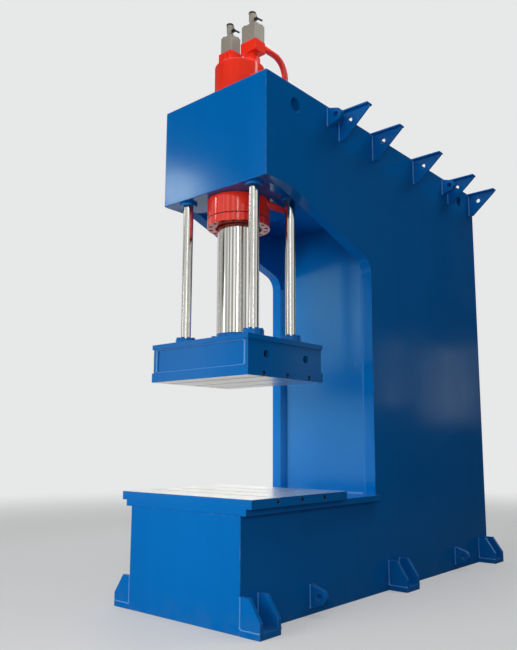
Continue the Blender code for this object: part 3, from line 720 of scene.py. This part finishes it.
def turned(bm, profile, steps, centre, ring=False):
    """Turn a profile of (radius, height) points about an upright axis, and add it to a mesh."""
    points = [bm.verts.new((radius, 0, height)) for radius, height in profile]
    following = points[1:] + points[:1] if ring else points[1:]
    edges = [bm.edges.new(pair) for pair in zip(points, following)]
    before = set(bm.faces)
    bmesh.ops.spin(bm, geom=points + edges, cent=(0, 0, 0), axis=(0, 0, 1), angle=2 * pi, steps=steps,
                   use_merge=True)
    faces = [face for face in bm.faces if face not in before]
    made = list({vert for face in faces for vert in face.verts})
    bmesh.ops.remove_doubles(bm, verts=made, dist=merge_gap)
    faces = [face for face in bm.faces if face not in before]
    bmesh.ops.recalc_face_normals(bm, faces=faces)
    made = list({vert for face in faces for vert in face.verts})
    bmesh.ops.translate(bm, vec=centre, verts=made)
    return faces


def turn_chrome(node, profile, steps, width):
    """A turned and chromed piece that stands for a solid."""
    bm = bmesh.new()
    turned(bm, profile, steps, (middle[node].x, middle[node].y, 0))
    soften(bm, width)
    return keep(f"{node}_finish", bm, ["chrome"], body_of(node), [node])


def add_pin(bm, steps, radius, bottom, top, centre):
    """An upright round pin, such as a screw's head."""
    made = bmesh.ops.create_cone(bm, cap_ends=True, segments=steps, radius1=radius, radius2=radius,
                                 depth=top - bottom)["verts"]
    bmesh.ops.translate(bm, verts=made, vec=(*centre, (bottom + top) / 2))
    return made


def drawn(bm, geom, length, steps):
    """Draw a loop straight up in even steps."""
    bmesh.ops.spin(bm, geom=geom, cent=(0, 0, 0), axis=(0, 0, 1), angle=0, steps=steps,
                   dvec=(0, 0, length / steps))


def bead(start, end, radius, welds):
    """A rippled weld bead from one point to another, in a mesh of its own."""
    start, end = Vector(start), Vector(end)
    length = (end - start).length
    steps = max(3, round(length / welds.pitch * ripple_rings))
    bm = bmesh.new()
    ring = bmesh.ops.create_circle(bm, segments=bead_sides, radius=radius)["verts"]
    edges = list(bm.edges)
    drawn(bm, ring + edges, length, steps)
    bmesh.ops.holes_fill(bm, edges=bm.edges, sides=bead_sides)
    bmesh.ops.recalc_face_normals(bm, faces=bm.faces)
    for vert in bm.verts:
        along = vert.co.z
        crescent = abs(vert.co.x) / radius * welds.pitch / 2
        wave = welds.ripple * cos(2 * pi * (along + crescent) / welds.pitch)
        drift = Vector((0, 0, along / welds.pitch / bead_wander))
        wander = welds.ripple * noise.noise(start * bead_spread + drift)
        nearest = min(along, length - along)
        closing = min(1, (nearest + radius / 2) / radius)
        blob = blob_share * exp(-((nearest / radius - 1) ** 2))
        swell = (1 + wave + wander + blob) * closing
        vert.co.x *= swell
        vert.co.y *= swell
    turn = Vector((0, 0, 1)).rotation_difference(end - start).to_matrix()
    bmesh.ops.rotate(bm, verts=bm.verts, matrix=turn)
    bmesh.ops.translate(bm, verts=bm.verts, vec=start)
    return bm


def gathered(meshes):
    """Several meshes put into one. The ones given are freed."""
    bm = bmesh.new()
    passing = bpy.data.meshes.new("passing")
    for single in meshes:
        single.to_mesh(passing)
        single.free()
        bm.from_mesh(passing)
    bpy.data.meshes.remove(passing)
    return bm


def held(point, reach):
    """A point moved inward, where it is nearer than the reach to the outside of the press's own box."""
    ranges = zip(cad_low, point, cad_high)
    return Vector(max(first + reach, min(last - reach, value)) for first, value, last in ranges)


def bead_piece(name, runs, radius, body):
    """One piece made of weld beads. Each run is a pair of points."""
    welds = bpy.context.scene.press_welds
    reach = radius * (1 + blob_share + 2 * welds.ripple)
    bm = gathered([bead(held(start, reach), held(end, reach), radius, welds) for start, end in runs])
    return keep(name, bm, ["bead"], body)


def wide_weld(across, wall, back, bottom, top, welds):
    """An upright weld of several passes that fills the corner between a side plate and the column's plate."""
    outward = Vector((-across, -1, 0)).normalized()
    first = Vector((wall, back - welds.leg, bottom))
    last = Vector((wall - across * welds.leg, back, bottom))
    count = welds.passes * weld_pass_points
    bm = bmesh.new()
    loop = []
    for step in range(count + 1):
        share = step / count
        lift = weld_crown * sin(pi * share) + weld_valley * (abs(sin(pi * welds.passes * share)) - 0.5)
        loop.append(bm.verts.new(first.lerp(last, share) + outward * lift))
    loop.append(bm.verts.new((wall, back, bottom)))
    edges = [bm.edges.new(pair) for pair in zip(loop, loop[1:] + loop[:1])]
    steps = round((top - bottom) / welds.pitch * 2)
    drawn(bm, loop + edges, top - bottom, steps)
    bmesh.ops.holes_fill(bm, edges=bm.edges, sides=count + 2)
    bmesh.ops.recalc_face_normals(bm, faces=bm.faces)
    for vert in bm.verts:
        proud = (vert.co - first) @ outward
        if proud > -welds.leg / 4:
            drift = noise.noise(Vector((vert.co.x, across, vert.co.z)) * weld_drift)
            along = vert.co.z + 0.5 * welds.pitch * drift
            swell = cos(2 * pi * along / welds.pitch) + noise.noise(vert.co * weld_grain)
            vert.co += outward * weld_ripple * swell
    return bm


# Pieces


def round_frame_plates():
    """The welded plates of the frame, rounded at their outer corners and left sharp at their seams."""
    edges = bpy.context.scene.press_edges
    front_seam = low["right_side_plate"].y
    head_seam = high["head_front_plate"].y

    def side_seam(edge):
        return on_plane(edge, 1, front_seam) or on_plane(edge, 1, head_seam)

    def skin_seam(edge):
        return on_plane(edge, 1, high["base_front_plate"].y) or on_plane(edge, 1, head_seam)

    def roof_seam(edge):
        return on_plane(edge, 2, high["head_top_plate"].z)

    def table_seam(edge):
        return on_plane(edge, 2, high["table_support"].z) and on_plane(edge, 1, low["table_support"].y)

    for side in sides:
        finish_node(f"{side}_side_plate", edges.plate, skip=side_seam)
    for node in ("head_front_plate", "base_front_plate"):
        finish_node(node, edges.plate, skip=skin_seam)
    finish_node("head_top_plate", edges.machined, skip=roof_seam)
    for node in ("head_bottom_plate", "head_rear_plate", "column_back_plate"):
        finish_node(node, edges.machined)
    finish_node("column_front_plate", edges.machined, ["column"])
    finish_node("table_support", edges.machined, skip=table_seam)


def top_rule(node, plain, cut):
    """Paint on a plate's sides and plain face, bare steel on its cut face, and darker steel in its slots as
    painted shade.
    """
    paint, steel, shaded_slot = range(3)
    margin = bpy.context.scene.press_edges.machined * 1.5
    side, front, rear = high[node].x - margin, low[node].y + margin, high[node].y - margin

    def rule(face):
        spot = face.calc_center_median()
        inside = abs(spot.x) <= side and front < spot.y < rear
        if not inside or abs(spot.z - plain) < margin:
            return paint
        # Faces inside the slots take the darker steel that stands for painted shade
        return steel if abs(spot.z - cut) < margin else shaded_slot

    return rule


def round_machined_plates():
    """The worktable and the slide's lower plate: painted edges, and a milled face with T-slots."""
    width = bpy.context.scene.press_edges.machined
    for node, plain, cut in (
        ("worktable", low["worktable"].z, high["worktable"].z),
        ("slide_bottom_plate", high["slide_bottom_plate"].z, low["slide_bottom_plate"].z),
    ):
        finish_node(node, width, ["blue", "steel", "shaded_slot"],
                    skip=lambda edge: on_plane(edge, 2, plain), rule=top_rule(node, plain, cut))


class PRESS_OT_frame(bpy.types.Operator):
    """Finish the welded plates of the frame"""

    bl_idname = "press.frame"
    bl_label = "Frame Plates"

    def execute(self, context):
        round_frame_plates()
        return {"FINISHED"}


class PRESS_OT_tables(bpy.types.Operator):
    """Finish the worktable and the slide's lower plate"""

    bl_idname = "press.tables"
    bl_label = "T-Slotted Plates"

    def execute(self, context):
        round_machined_plates()
        return {"FINISHED"}


class PRESS_OT_fittings(bpy.types.Operator):
    """Finish the feet, lugs and platform brackets"""

    bl_idname = "press.fittings"
    bl_label = "Feet, Lugs and Brackets"

    def execute(self, context):
        width = context.scene.press_edges.fitting
        for node in frame["nodes"]:
            if node.startswith(("anchor_foot", "lower_lug", "upper_lug", "platform_bracket")):
                finish_node(node, width)
        return {"FINISHED"}


class PRESS_OT_slide(bpy.types.Operator):
    """Finish the slide's box, its top plate with the rods' flanges, and the ram's flange"""

    bl_idname = "press.slide"
    bl_label = "Slide"

    def execute(self, context):
        edges = context.scene.press_edges
        finish_node("slide_box", edges.fitting)
        finish_node("slide_top_plate", edges.machined)
        finish_node("ram_flange", edges.machined)
        return {"FINISHED"}


class PRESS_OT_ram(bpy.types.Operator):
    """Turn the chromed plunger and the four guide rods"""

    bl_idname = "press.ram"
    bl_label = "Plunger and Rods"

    def execute(self, context):
        steps = context.scene.press_turned
        width = context.scene.press_edges.machined
        rim, top = high["plunger"].x, high["plunger"].z
        radius, root = rim - piston_step, rim - groove_depth
        shoulder = top - piston_height
        profile = [(0, top), (rim, top)]
        for upper in (top - groove_margin, shoulder + groove_margin + groove_width):
            lower = upper - groove_width
            profile += [(rim, upper), (root, upper), (root, lower), (rim, lower)]
        profile += [(rim, shoulder), (radius, shoulder), (radius, low["plunger"].z), (0, low["plunger"].z)]
        turn_chrome("plunger", profile, steps.large, width / 2)
        lead_in = 4 * width
        for end in ends:
            for side in sides:
                node = f"guide_rod_{end}_{side}"
                radius = (high[node].x - low[node].x) / 2
                foot, head = low[node].z, high[node].z
                profile = [(0, head), (radius - lead_in, head), (radius, head - lead_in), (radius, foot)]
                turn_chrome(node, [*profile, (0, foot)], steps.small, width)
        return {"FINISHED"}


def finish_cylinder(steps, width):
    """The cylinder with its mounting flange, its bore and the port behind its flange."""
    rim, foot, top = high["cylinder"].x, low["cylinder"].z, high["cylinder"].z
    seat, seat_top = high["gland_bush"].x + fit_gap, high["gland_bush"].z + fit_gap
    bore, bore_end = high["plunger"].x + 2 * fit_gap, top - end_thickness
    shoulder = low["head_bottom_plate"].z - fit_gap
    profile = [
        (0, top), (barrel_radius, top), (barrel_radius, shoulder), (rim, shoulder), (rim, foot), (seat, foot),
        (seat, seat_top), (bore, seat_top), (bore, bore_end), (0, bore_end),
    ]
    bm = bmesh.new()
    turned(bm, profile, steps.large, (ram_x, ram_y, 0))
    soften(bm, width, segments=3)
    port = bmesh.new()
    reach = high["cylinder"].y - ram_y
    port_profile = [(0, -port_root), (port_radius, -port_root), (port_radius, -reach), (0, -reach)]
    turned(port, port_profile, steps.small, (0, 0, 0))
    bmesh.ops.rotate(port, verts=port.verts, matrix=Matrix.Rotation(pi / 2, 3, "X"))
    pipe = middle["return_pipe"].x, ram_y, low["return_pipe"].z + port_radius
    bmesh.ops.translate(port, verts=port.verts, vec=pipe)
    soften(port, width / 2)
    return keep("cylinder_finish", gathered([bm, port]), ["red"], "frame", ["cylinder"])


def add_flange_split_shade(steps):
    """A dark ring of painted shade in the gap between the cylinder's flange and the gland ring, between their
    two chamfers.
    """
    edges = bpy.context.scene.press_edges
    rim, seam = high["cylinder"].x, low["cylinder"].z
    outer, inner, half = rim - split_sink, rim - edges.split, edges.split * 0.7
    profile = [(inner, seam - half), (outer, seam - half), (outer, seam + half), (inner, seam + half)]
    bm = bmesh.new()
    turned(bm, profile, steps.large, (ram_x, ram_y, 0), ring=True)
    return keep("flange_split_shade", bm, ["oxide"], "frame")


def add_gland_screws(steps):
    """Socket screws sunk in the gland ring's recesses."""
    bottom, top = low["gland_ring"].z + screw_sink, low["gland_ring"].z + gland_recess
    bm = bmesh.new()
    for step in range(gland_bolt_count):
        turn = 2 * pi * (step + 0.5) / gland_bolt_count
        centre = ram_x + gland_bolt_circle * cos(turn), ram_y + gland_bolt_circle * sin(turn)
        add_pin(bm, steps.tiny, gland_screw_radius, bottom, top, centre)
    faces = [face for face in bm.faces if face.normal.z < -0.9]
    bmesh.ops.inset_individual(bm, faces=faces, thickness=gland_screw_radius / 2)
    grown = bmesh.ops.extrude_discrete_faces(bm, faces=faces)["faces"]
    sunk = list({vert for face in grown for vert in face.verts})
    bmesh.ops.translate(bm, verts=sunk, vec=(0, 0, (top - bottom) / 2))
    return keep("gland_screws", bm, ["oxide"], "frame")


class PRESS_OT_cylinder(bpy.types.Operator):
    """Finish the cylinder, its gland ring, bush and nut, and the guide bushes"""

    bl_idname = "press.cylinder"
    bl_label = "Cylinder and Bushes"

    def execute(self, context):
        edges, steps = context.scene.press_edges, context.scene.press_turned
        width = edges.machined
        finish_cylinder(steps, edges.split)
        finish_node("gland_ring", edges.split, ["red"])
        finish_node("cylinder_nut", width, ["red"])
        finish_node("gland_bush", width, ["bronze"])
        # A dark ring stands as painted shade in the split between flange and gland
        add_flange_split_shade(steps)
        add_gland_screws(steps)
        for end in ends:
            for side in sides:
                finish_node(f"guide_bush_{end}_{side}", width)
        return {"FINISHED"}


def above(level):
    """Black oxide on what stands above a level, such as screw heads, and paint below."""
    return lambda face: 1 if face.calc_center_median().z > level else 0


def add_connector(side, steps):
    """The plug on a pilot's flank, with its upright pin and the stub of lead to the cover."""
    pilot, cover = f"{side}_pilot_valve", f"{side}_valve_cover"
    start, across, level = high[pilot].x - connector_bury, middle[pilot].y, low[pilot].z + connector_height
    end = start + connector_size[0]
    bm = bmesh.new()
    plug = bmesh.ops.create_cube(bm, size=1)["verts"]
    bmesh.ops.scale(bm, vec=connector_size, verts=plug)
    bmesh.ops.translate(bm, vec=(start + connector_size[0] / 2, across, level), verts=plug)
    add_pin(bm, steps.tiny, pin_radius, level, level + pin_height, (start + connector_size[0] * 0.6, across))
    lead = add_pin(bm, steps.tiny, lead_radius, -lead_length / 2, lead_length / 2, (0, 0))
    bmesh.ops.rotate(bm, verts=lead, matrix=Matrix.Rotation(lead_tilt, 3, "Y"))
    bmesh.ops.translate(bm, vec=(end + lead_length / 3, across, level - lead_length / 3), verts=lead)
    soften(bm, bpy.context.scene.press_edges.machined / 2)
    return keep(f"{side}_connector", bm, ["oxide"], body_of(cover))


class PRESS_OT_valves(bpy.types.Operator):
    """Finish the valve stacks and the pipes"""

    bl_idname = "press.valves"
    bl_label = "Valves and Pipes"

    def execute(self, context):
        width = context.scene.press_edges.machined
        for side in sides:
            finish_node(f"{side}_valve_base", width, ["red"])
            for part, black in (("valve_cover", cover_screw_height), ("pilot_valve", pilot_cap_height)):
                node = f"{side}_{part}"
                level = high[node].z - black - width
                finish_node(node, width, ["grey", "oxide"], rule=above(level))
            add_connector(side, context.scene.press_turned)
        for node in ("oil_pipe", "return_pipe"):
            finish_node(node, width, ["red"])
        return {"FINISHED"}


def foot_runs(node, wall):
    """The beads of one anchor foot: its gussets' roots, and their seams on the foot plate's ends."""
    toe = high[node].x if wall > 0 else low[node].x
    front, rear = low[node].y, high[node].y
    ledge = floor_z + foot_plate_thickness
    roots = (front, front + gusset_thickness, rear - gusset_thickness, rear)
    runs = [((wall, y, ledge), (wall, y, high[node].z)) for y in roots]
    runs += [((wall, y, ledge), (toe, y, ledge)) for y in (front, rear)]
    return runs


def lug_runs(node, wall):
    """The beads of one lug's root."""
    return [((wall, y, low[node].z), (wall, y, high[node].z)) for y in (low[node].y, high[node].y)]


def bracket_runs(node, wall):
    """The beads of one platform bracket: its web's root on both faces, and its flange's root."""
    web = middle[node].y
    under = high[node].z - flange_thickness
    runs = [((wall, y, low[node].z), (wall, y, under)) for y in (web - web_half, web + web_half)]
    runs.append(((wall, low[node].y, under), (wall, high[node].y, under)))
    return runs


def slide_runs():
    """The beads round the recessed panels of the slide's front and back, the upright ones on its posts."""
    box_low, box_high = low["slide_box"], high["slide_box"]
    runs = []
    for face, panel in ((box_low.y, box_low.y + box_recess), (box_high.y, box_high.y - box_recess)):
        seam = (face + panel) / 2
        for across in sides.values():
            post = across * (box_high.x - box_post)
            runs.append(((post, seam, box_low.z), (post, seam, box_high.z)))
        for level in (box_low.z, box_high.z):
            runs.append(((box_low.x + box_post, panel, level), (box_high.x - box_post, panel, level)))
    return runs


class PRESS_OT_welds(bpy.types.Operator):
    """Lay the weld beads along the seams of the frame and the slide"""

    bl_idname = "press.welds"
    bl_label = "Weld Beads"

    def execute(self, context):
        welds = context.scene.press_welds
        column, bottom = low["column_front_plate"].y, high["table_support"].z
        top = low["head_bottom_plate"].z - column_weld_drop
        meshes = []
        for across in sides.values():
            meshes.append(wide_weld(across, across * plate_inner, column, bottom, top, welds))
        keep("column_welds", gathered(meshes), ["blue"], "frame")
        foot = [((-plate_inner + welds.leg, column, bottom), (plate_inner - welds.leg, column, bottom))]
        bead_piece("column_foot_weld", foot, welds.heavy, "frame")
        for name, radius, prefixes, runs_of in (
            ("foot_welds", welds.light, ("anchor_foot",), foot_runs),
            ("lug_welds", welds.light, ("lower_lug", "upper_lug"), lug_runs),
            ("bracket_welds", welds.thin, ("platform_bracket",), bracket_runs),
        ):
            runs = []
            for side, across in sides.items():
                starts = tuple(f"{prefix}_{side}" for prefix in prefixes)
                for node in frame["nodes"]:
                    if node.startswith(starts):
                        runs += runs_of(node, across * plate_outer)
            bead_piece(name, runs, radius, "frame")
        bead_piece("slide_welds", slide_runs(), welds.slide, "ram_slide")
        return {"FINISHED"}


# Stage


def look_along(yaw, pitch):
    """A camera's right, up and back directions from its heading and tilt."""
    forward = Vector((sin(yaw) * cos(pitch), cos(yaw) * cos(pitch), sin(pitch)))
    right = Vector((cos(yaw), -sin(yaw), 0))
    up = right.cross(forward)
    return right, up, -forward


def set_camera():
    """The camera where the photographer stood, with the photograph's framing."""
    data = bpy.data.cameras.new("press_camera")
    data.sensor_width = sensor_width
    data.lens = focal_pixels / photo_height * sensor_width
    data.shift_x = (photo_width / 2 - principal_x) / photo_height
    data.shift_y = (principal_y - photo_height / 2) / photo_height
    camera = bpy.data.objects.new("press_camera", data)
    bpy.context.scene.collection.objects.link(camera)
    right, up, back = look_along(camera_yaw, camera_pitch)
    place = Vector((camera_x, low["base_front_plate"].y + camera_depth, camera_height))
    camera.matrix_world = Matrix.Translation(place) @ Matrix((right, up, back)).transposed().to_4x4()
    bpy.context.scene.camera = camera


def mixed_shader(tree, share, first, second):
    """Two shaders mixed by a share."""
    node = tree.nodes.new("ShaderNodeMixShader")
    for socket, given in zip(node.inputs, (share, first, second)):
        tree.links.new(given, socket)
    return node.outputs[0]


def floor_material(stage):
    """The floor's paint. Further out it glows like the backdrop, as seen and as glossy pieces mirror it."""
    material, tree, coordinates = new_material("Studio Floor")
    shader = tree.nodes["Principled BSDF"]
    shader.inputs["Roughness"].default_value = 0.60
    shader.inputs["Specular IOR Level"].default_value = 0.1
    place = coordinates["Object"]
    path = tree.nodes.new("ShaderNodeLightPath").outputs
    heading = heading_of(tree, parts_of(tree, place))
    distance = tree.nodes.new("ShaderNodeVectorMath")
    distance.operation = "LENGTH"
    tree.links.new(place, distance.inputs[0])
    distance = distance.outputs["Value"]

    shade = tuple(floor_shade * c for c in stage.floor)
    pale = blended(tree, add_noise(tree, place, scale=0.6, detail=4.0), shade, tuple(stage.floor))
    bounce = blended(tree, path["Is Diffuse Ray"], pale, floor_bounce)
    darkness = soft_window(tree, heading, 0.0, dark_floor)
    reflected = blended(tree, darkness, floor_mirrored, floor_mirrored_dark)
    colour = blended(tree, path["Is Glossy Ray"], bounce, reflected)
    tree.links.new(colour, shader.inputs["Base Color"])

    fading = ranged(tree, distance, before=seen_edge, after=(0.35, 1.0), eased=True)
    open_floor = calculated(tree, "SUBTRACT", 1.0, soft_window(tree, heading, 0.0, dark_distance))
    far_glow = product(tree, ranged(tree, distance, before=mirrored_edge, eased=True), open_floor)
    near_glow = product(tree, ranged(tree, distance, before=lit_edge, eased=True),
                        soft_window(tree, heading, 0.0, lit_floor))
    mirrored = product(tree, calculated(tree, "MAXIMUM", far_glow, near_glow), path["Is Glossy Ray"])
    share = calculated(tree, "MAXIMUM", product(tree, fading, path["Is Camera Ray"]), mirrored)
    backdrop = tree.nodes.new("ShaderNodeEmission")
    backdrop.inputs["Color"].default_value = (*stage.backdrop, 1)
    surface = mixed_shader(tree, share, shader.outputs[0], backdrop.outputs[0])
    tree.links.new(surface, tree.nodes["Material Output"].inputs["Surface"])
    spread_out(tree)
    return material


def set_floor(stage):
    """A pale floor that holds the press's shadow."""
    bm = bmesh.new()
    bmesh.ops.create_grid(bm, x_segments=1, y_segments=1, size=floor_reach)
    mesh = bpy.data.meshes.new("studio_floor")
    bm.to_mesh(mesh)
    bm.free()
    mesh.materials.append(floor_material(stage))
    floor = bpy.data.objects.new("studio_floor", mesh)
    floor.location.z = floor_z
    bpy.context.scene.collection.objects.link(floor)


def heading_of(tree, parts):
    """The compass direction of a vector's parts, in radians from X towards Y."""
    return calculated(tree, "ARCTAN2", parts["Y"], parts["X"])


def banded(tree, heading, scale, edge, glow):
    """Irregular upright bands: one-way noise on the heading, from a dark glow to a light one."""
    node = tree.nodes.new("ShaderNodeTexNoise")
    node.noise_dimensions = "1D"
    node.inputs["Scale"].default_value = scale
    node.inputs["Detail"].default_value = 1.0
    tree.links.new(heading, node.inputs["W"])
    return ranged(tree, node.outputs["Fac"], before=edge, after=glow, eased=True)


def soft_window(tree, heading, rise, window):
    """How far a direction is inside a window.

    The window is its centre, half width, height, half height and softness, in degrees.
    """
    centre, half_width, height, half_height, softness = (radians(value) for value in window)
    inside = []
    for given, mid, half in ((heading, centre, half_width), (rise, height, half_height)):
        off = calculated(tree, "ABSOLUTE", calculated(tree, "SUBTRACT", given, mid))
        edge = half - softness / 2, half + softness / 2
        inside.append(ranged(tree, off, before=edge, after=(1.0, 0.0), eased=True))
    return product(tree, *inside)


def hall_glow(tree, direction, heading, rise):
    """What glossy surfaces mirror: walls in upright bands, dim bays, and a few bright windows."""
    walls = banded(tree, heading, scale=3.1, edge=(0.42, 0.58), glow=(0.62, 1.22))
    panes = banded(tree, heading, scale=26.0, edge=(0.36, 0.64), glow=(0.75, 1.0))
    rhythm = calculated(tree, "SINE", product(tree, heading, bay_count))
    posts = ranged(tree, rhythm, before=(-0.6, 0.5), after=(0.50, 1.08), eased=True)
    roof = ranged(tree, rise, before=roof_rise, after=(1.0, roof_glow), eased=True)
    glow = product(tree, walls, panes, posts, roof)
    cloud = add_noise(tree, direction, scale=22.0, detail=4.0)
    cloud = ranged(tree, cloud, before=(0.30, 0.70), after=(0.35, 1.35))
    for bay in dim_bays:
        dimmed = product(tree, soft_window(tree, heading, rise, bay), bay_dimming)
        glow = product(tree, glow, calculated(tree, "SUBTRACT", 1.0, dimmed))
    for strength, window in bright_windows:
        lit = product(tree, soft_window(tree, heading, rise, window), cloud, strength)
        glow = calculated(tree, "ADD", glow, lit)
    return glow


def add_background(tree, colour, strength):
    node = tree.nodes.new("ShaderNodeBackground")
    node.inputs["Color"].default_value = (*colour, 1)
    if isinstance(strength, bpy.types.NodeSocket):
        tree.links.new(strength, node.inputs["Strength"])
    else:
        node.inputs["Strength"].default_value = strength
    return node.outputs[0]


def set_world(stage):
    """Even light for surfaces, a hall with windows for reflections, and a plain backdrop."""
    world = bpy.data.worlds.new("Studio")
    bpy.context.scene.world = world
    world.use_nodes = True
    tree = world.node_tree
    tree.nodes.clear()
    output = tree.nodes.new("ShaderNodeOutputWorld")
    path = tree.nodes.new("ShaderNodeLightPath").outputs
    direction = tree.nodes.new("ShaderNodeTexCoord").outputs["Generated"]
    parts = parts_of(tree, direction)
    glow = hall_glow(tree, direction, heading_of(tree, parts), calculated(tree, "ARCSINE", parts["Z"]))
    mirrored = add_background(tree, hall_colour, glow)
    even = add_background(tree, even_colour, stage.ambient)
    seen = add_background(tree, stage.backdrop, 1.0)
    around = mixed_shader(tree, path["Is Glossy Ray"], even, mirrored)
    tree.links.new(mixed_shader(tree, path["Is Camera Ray"], around, seen), output.inputs["Surface"])
    spread_out(tree)


def add_lamp(name, place, target, size, power, spread=180, mirrored=False):
    """A lamp that faces a point, with its spread in degrees. Only a mirrored one shows as a highlight."""
    data = bpy.data.lights.new(name, "AREA")
    data.shape = "RECTANGLE"
    data.size, data.size_y = size
    data.energy = power
    data.spread = radians(spread)
    lamp = bpy.data.objects.new(name, data)
    bpy.context.scene.collection.objects.link(lamp)
    place = Vector(place)
    lamp.location = place
    lamp.rotation_euler = (Vector(target) - place).to_track_quat("-Z", "Y").to_euler()
    lamp.visible_glossy = mirrored


class PRESS_OT_stage(bpy.types.Operator):
    """Set the camera, the floor, the backdrop and the lamps"""

    bl_idname = "press.stage"
    bl_label = "Stage"

    def execute(self, context):
        stage = context.scene.press_stage
        context.scene.view_settings.view_transform = "Standard"
        set_camera()
        set_floor(stage)
        set_world(stage)
        front = low["base_front_plate"].y
        add_lamp("key_lamp", (-2.4, front - 13.5, 6.2), (0, front, 2.8), (8.0, 8.0), stage.key)
        add_lamp("low_lamp", (-1.8, front - 5.0, 0.7), (0, front, 0.7), (2.5, 1.2), stage.low, spread=50)
        add_lamp("throat_lamp", (-2.9, front + 0.7, 2.1), (0.2, front + 2.2, 2.1), (1.2, 1.8), stage.throat,
                 spread=110)
        add_lamp("fill_lamp", (6.5, front - 6.0, 3.5), (0, front, 3.0), (3.0, 3.0), stage.fill)
        add_lamp("valve_lamp", (9.0, ram_y - 2.0, 9.5), (0, ram_y, 6.1), (0.5, 0.5), stage.valves, spread=12)
        add_lamp("overhead_lamp", (0, 0, 12.0), (0, 0, 0), (9.0, 9.0), stage.sky, mirrored=True)
        add_lamp("window_lamp", (5.7, 6.25, 13.0), (0, ram_y, 5.6), (5.0, 2.7), stage.window)
        return {"FINISHED"}


class PRESS_PT_looks(bpy.types.Panel):
    """The press's settings and pieces in the sidebar"""

    bl_idname = "PRESS_PT_looks"
    bl_label = "Hydraulic Press"
    bl_space_type = "VIEW_3D"
    bl_region_type = "UI"
    bl_category = "Press"

    def draw(self, context):
        layout = self.layout
        for group in setting_groups:
            settings_here = getattr(context.scene, group)
            box = layout.box()
            box.label(text=settings_here.__doc__ or group)
            for name in settings_here.__annotations__:
                box.prop(settings_here, name)
        for operator in piece_operators:
            layout.operator(operator.bl_idname)


setting_groups = {
    "press_paint": PressPaintSettings,
    "press_edges": PressEdgeSettings,
    "press_welds": PressWeldSettings,
    "press_turned": PressTurnedSettings,
    "press_stage": PressStageSettings,
}
piece_operators = (
    PRESS_OT_stage,
    PRESS_OT_frame,
    PRESS_OT_tables,
    PRESS_OT_fittings,
    PRESS_OT_slide,
    PRESS_OT_ram,
    PRESS_OT_cylinder,
    PRESS_OT_valves,
    PRESS_OT_welds,
)


def register():
    for group in setting_groups.values():
        bpy.utils.register_class(group)
    for operator in piece_operators:
        bpy.utils.register_class(operator)
    bpy.utils.register_class(PRESS_PT_looks)
    for name, group in setting_groups.items():
        setattr(bpy.types.Scene, name, PointerProperty(type=group))


def unregister():
    for name in setting_groups:
        delattr(bpy.types.Scene, name)
    bpy.utils.unregister_class(PRESS_PT_looks)
    for operator in reversed(piece_operators):
        bpy.utils.unregister_class(operator)
    for group in reversed(list(setting_groups.values())):
        bpy.utils.unregister_class(group)


def main():
    register()
    bpy.ops.press.stage()
    bpy.ops.press.frame()
    bpy.ops.press.tables()
    bpy.ops.press.fittings()
    bpy.ops.press.slide()
    bpy.ops.press.ram()
    bpy.ops.press.cylinder()
    bpy.ops.press.valves()
    bpy.ops.press.welds()


if __name__ == "__main__":
    main()
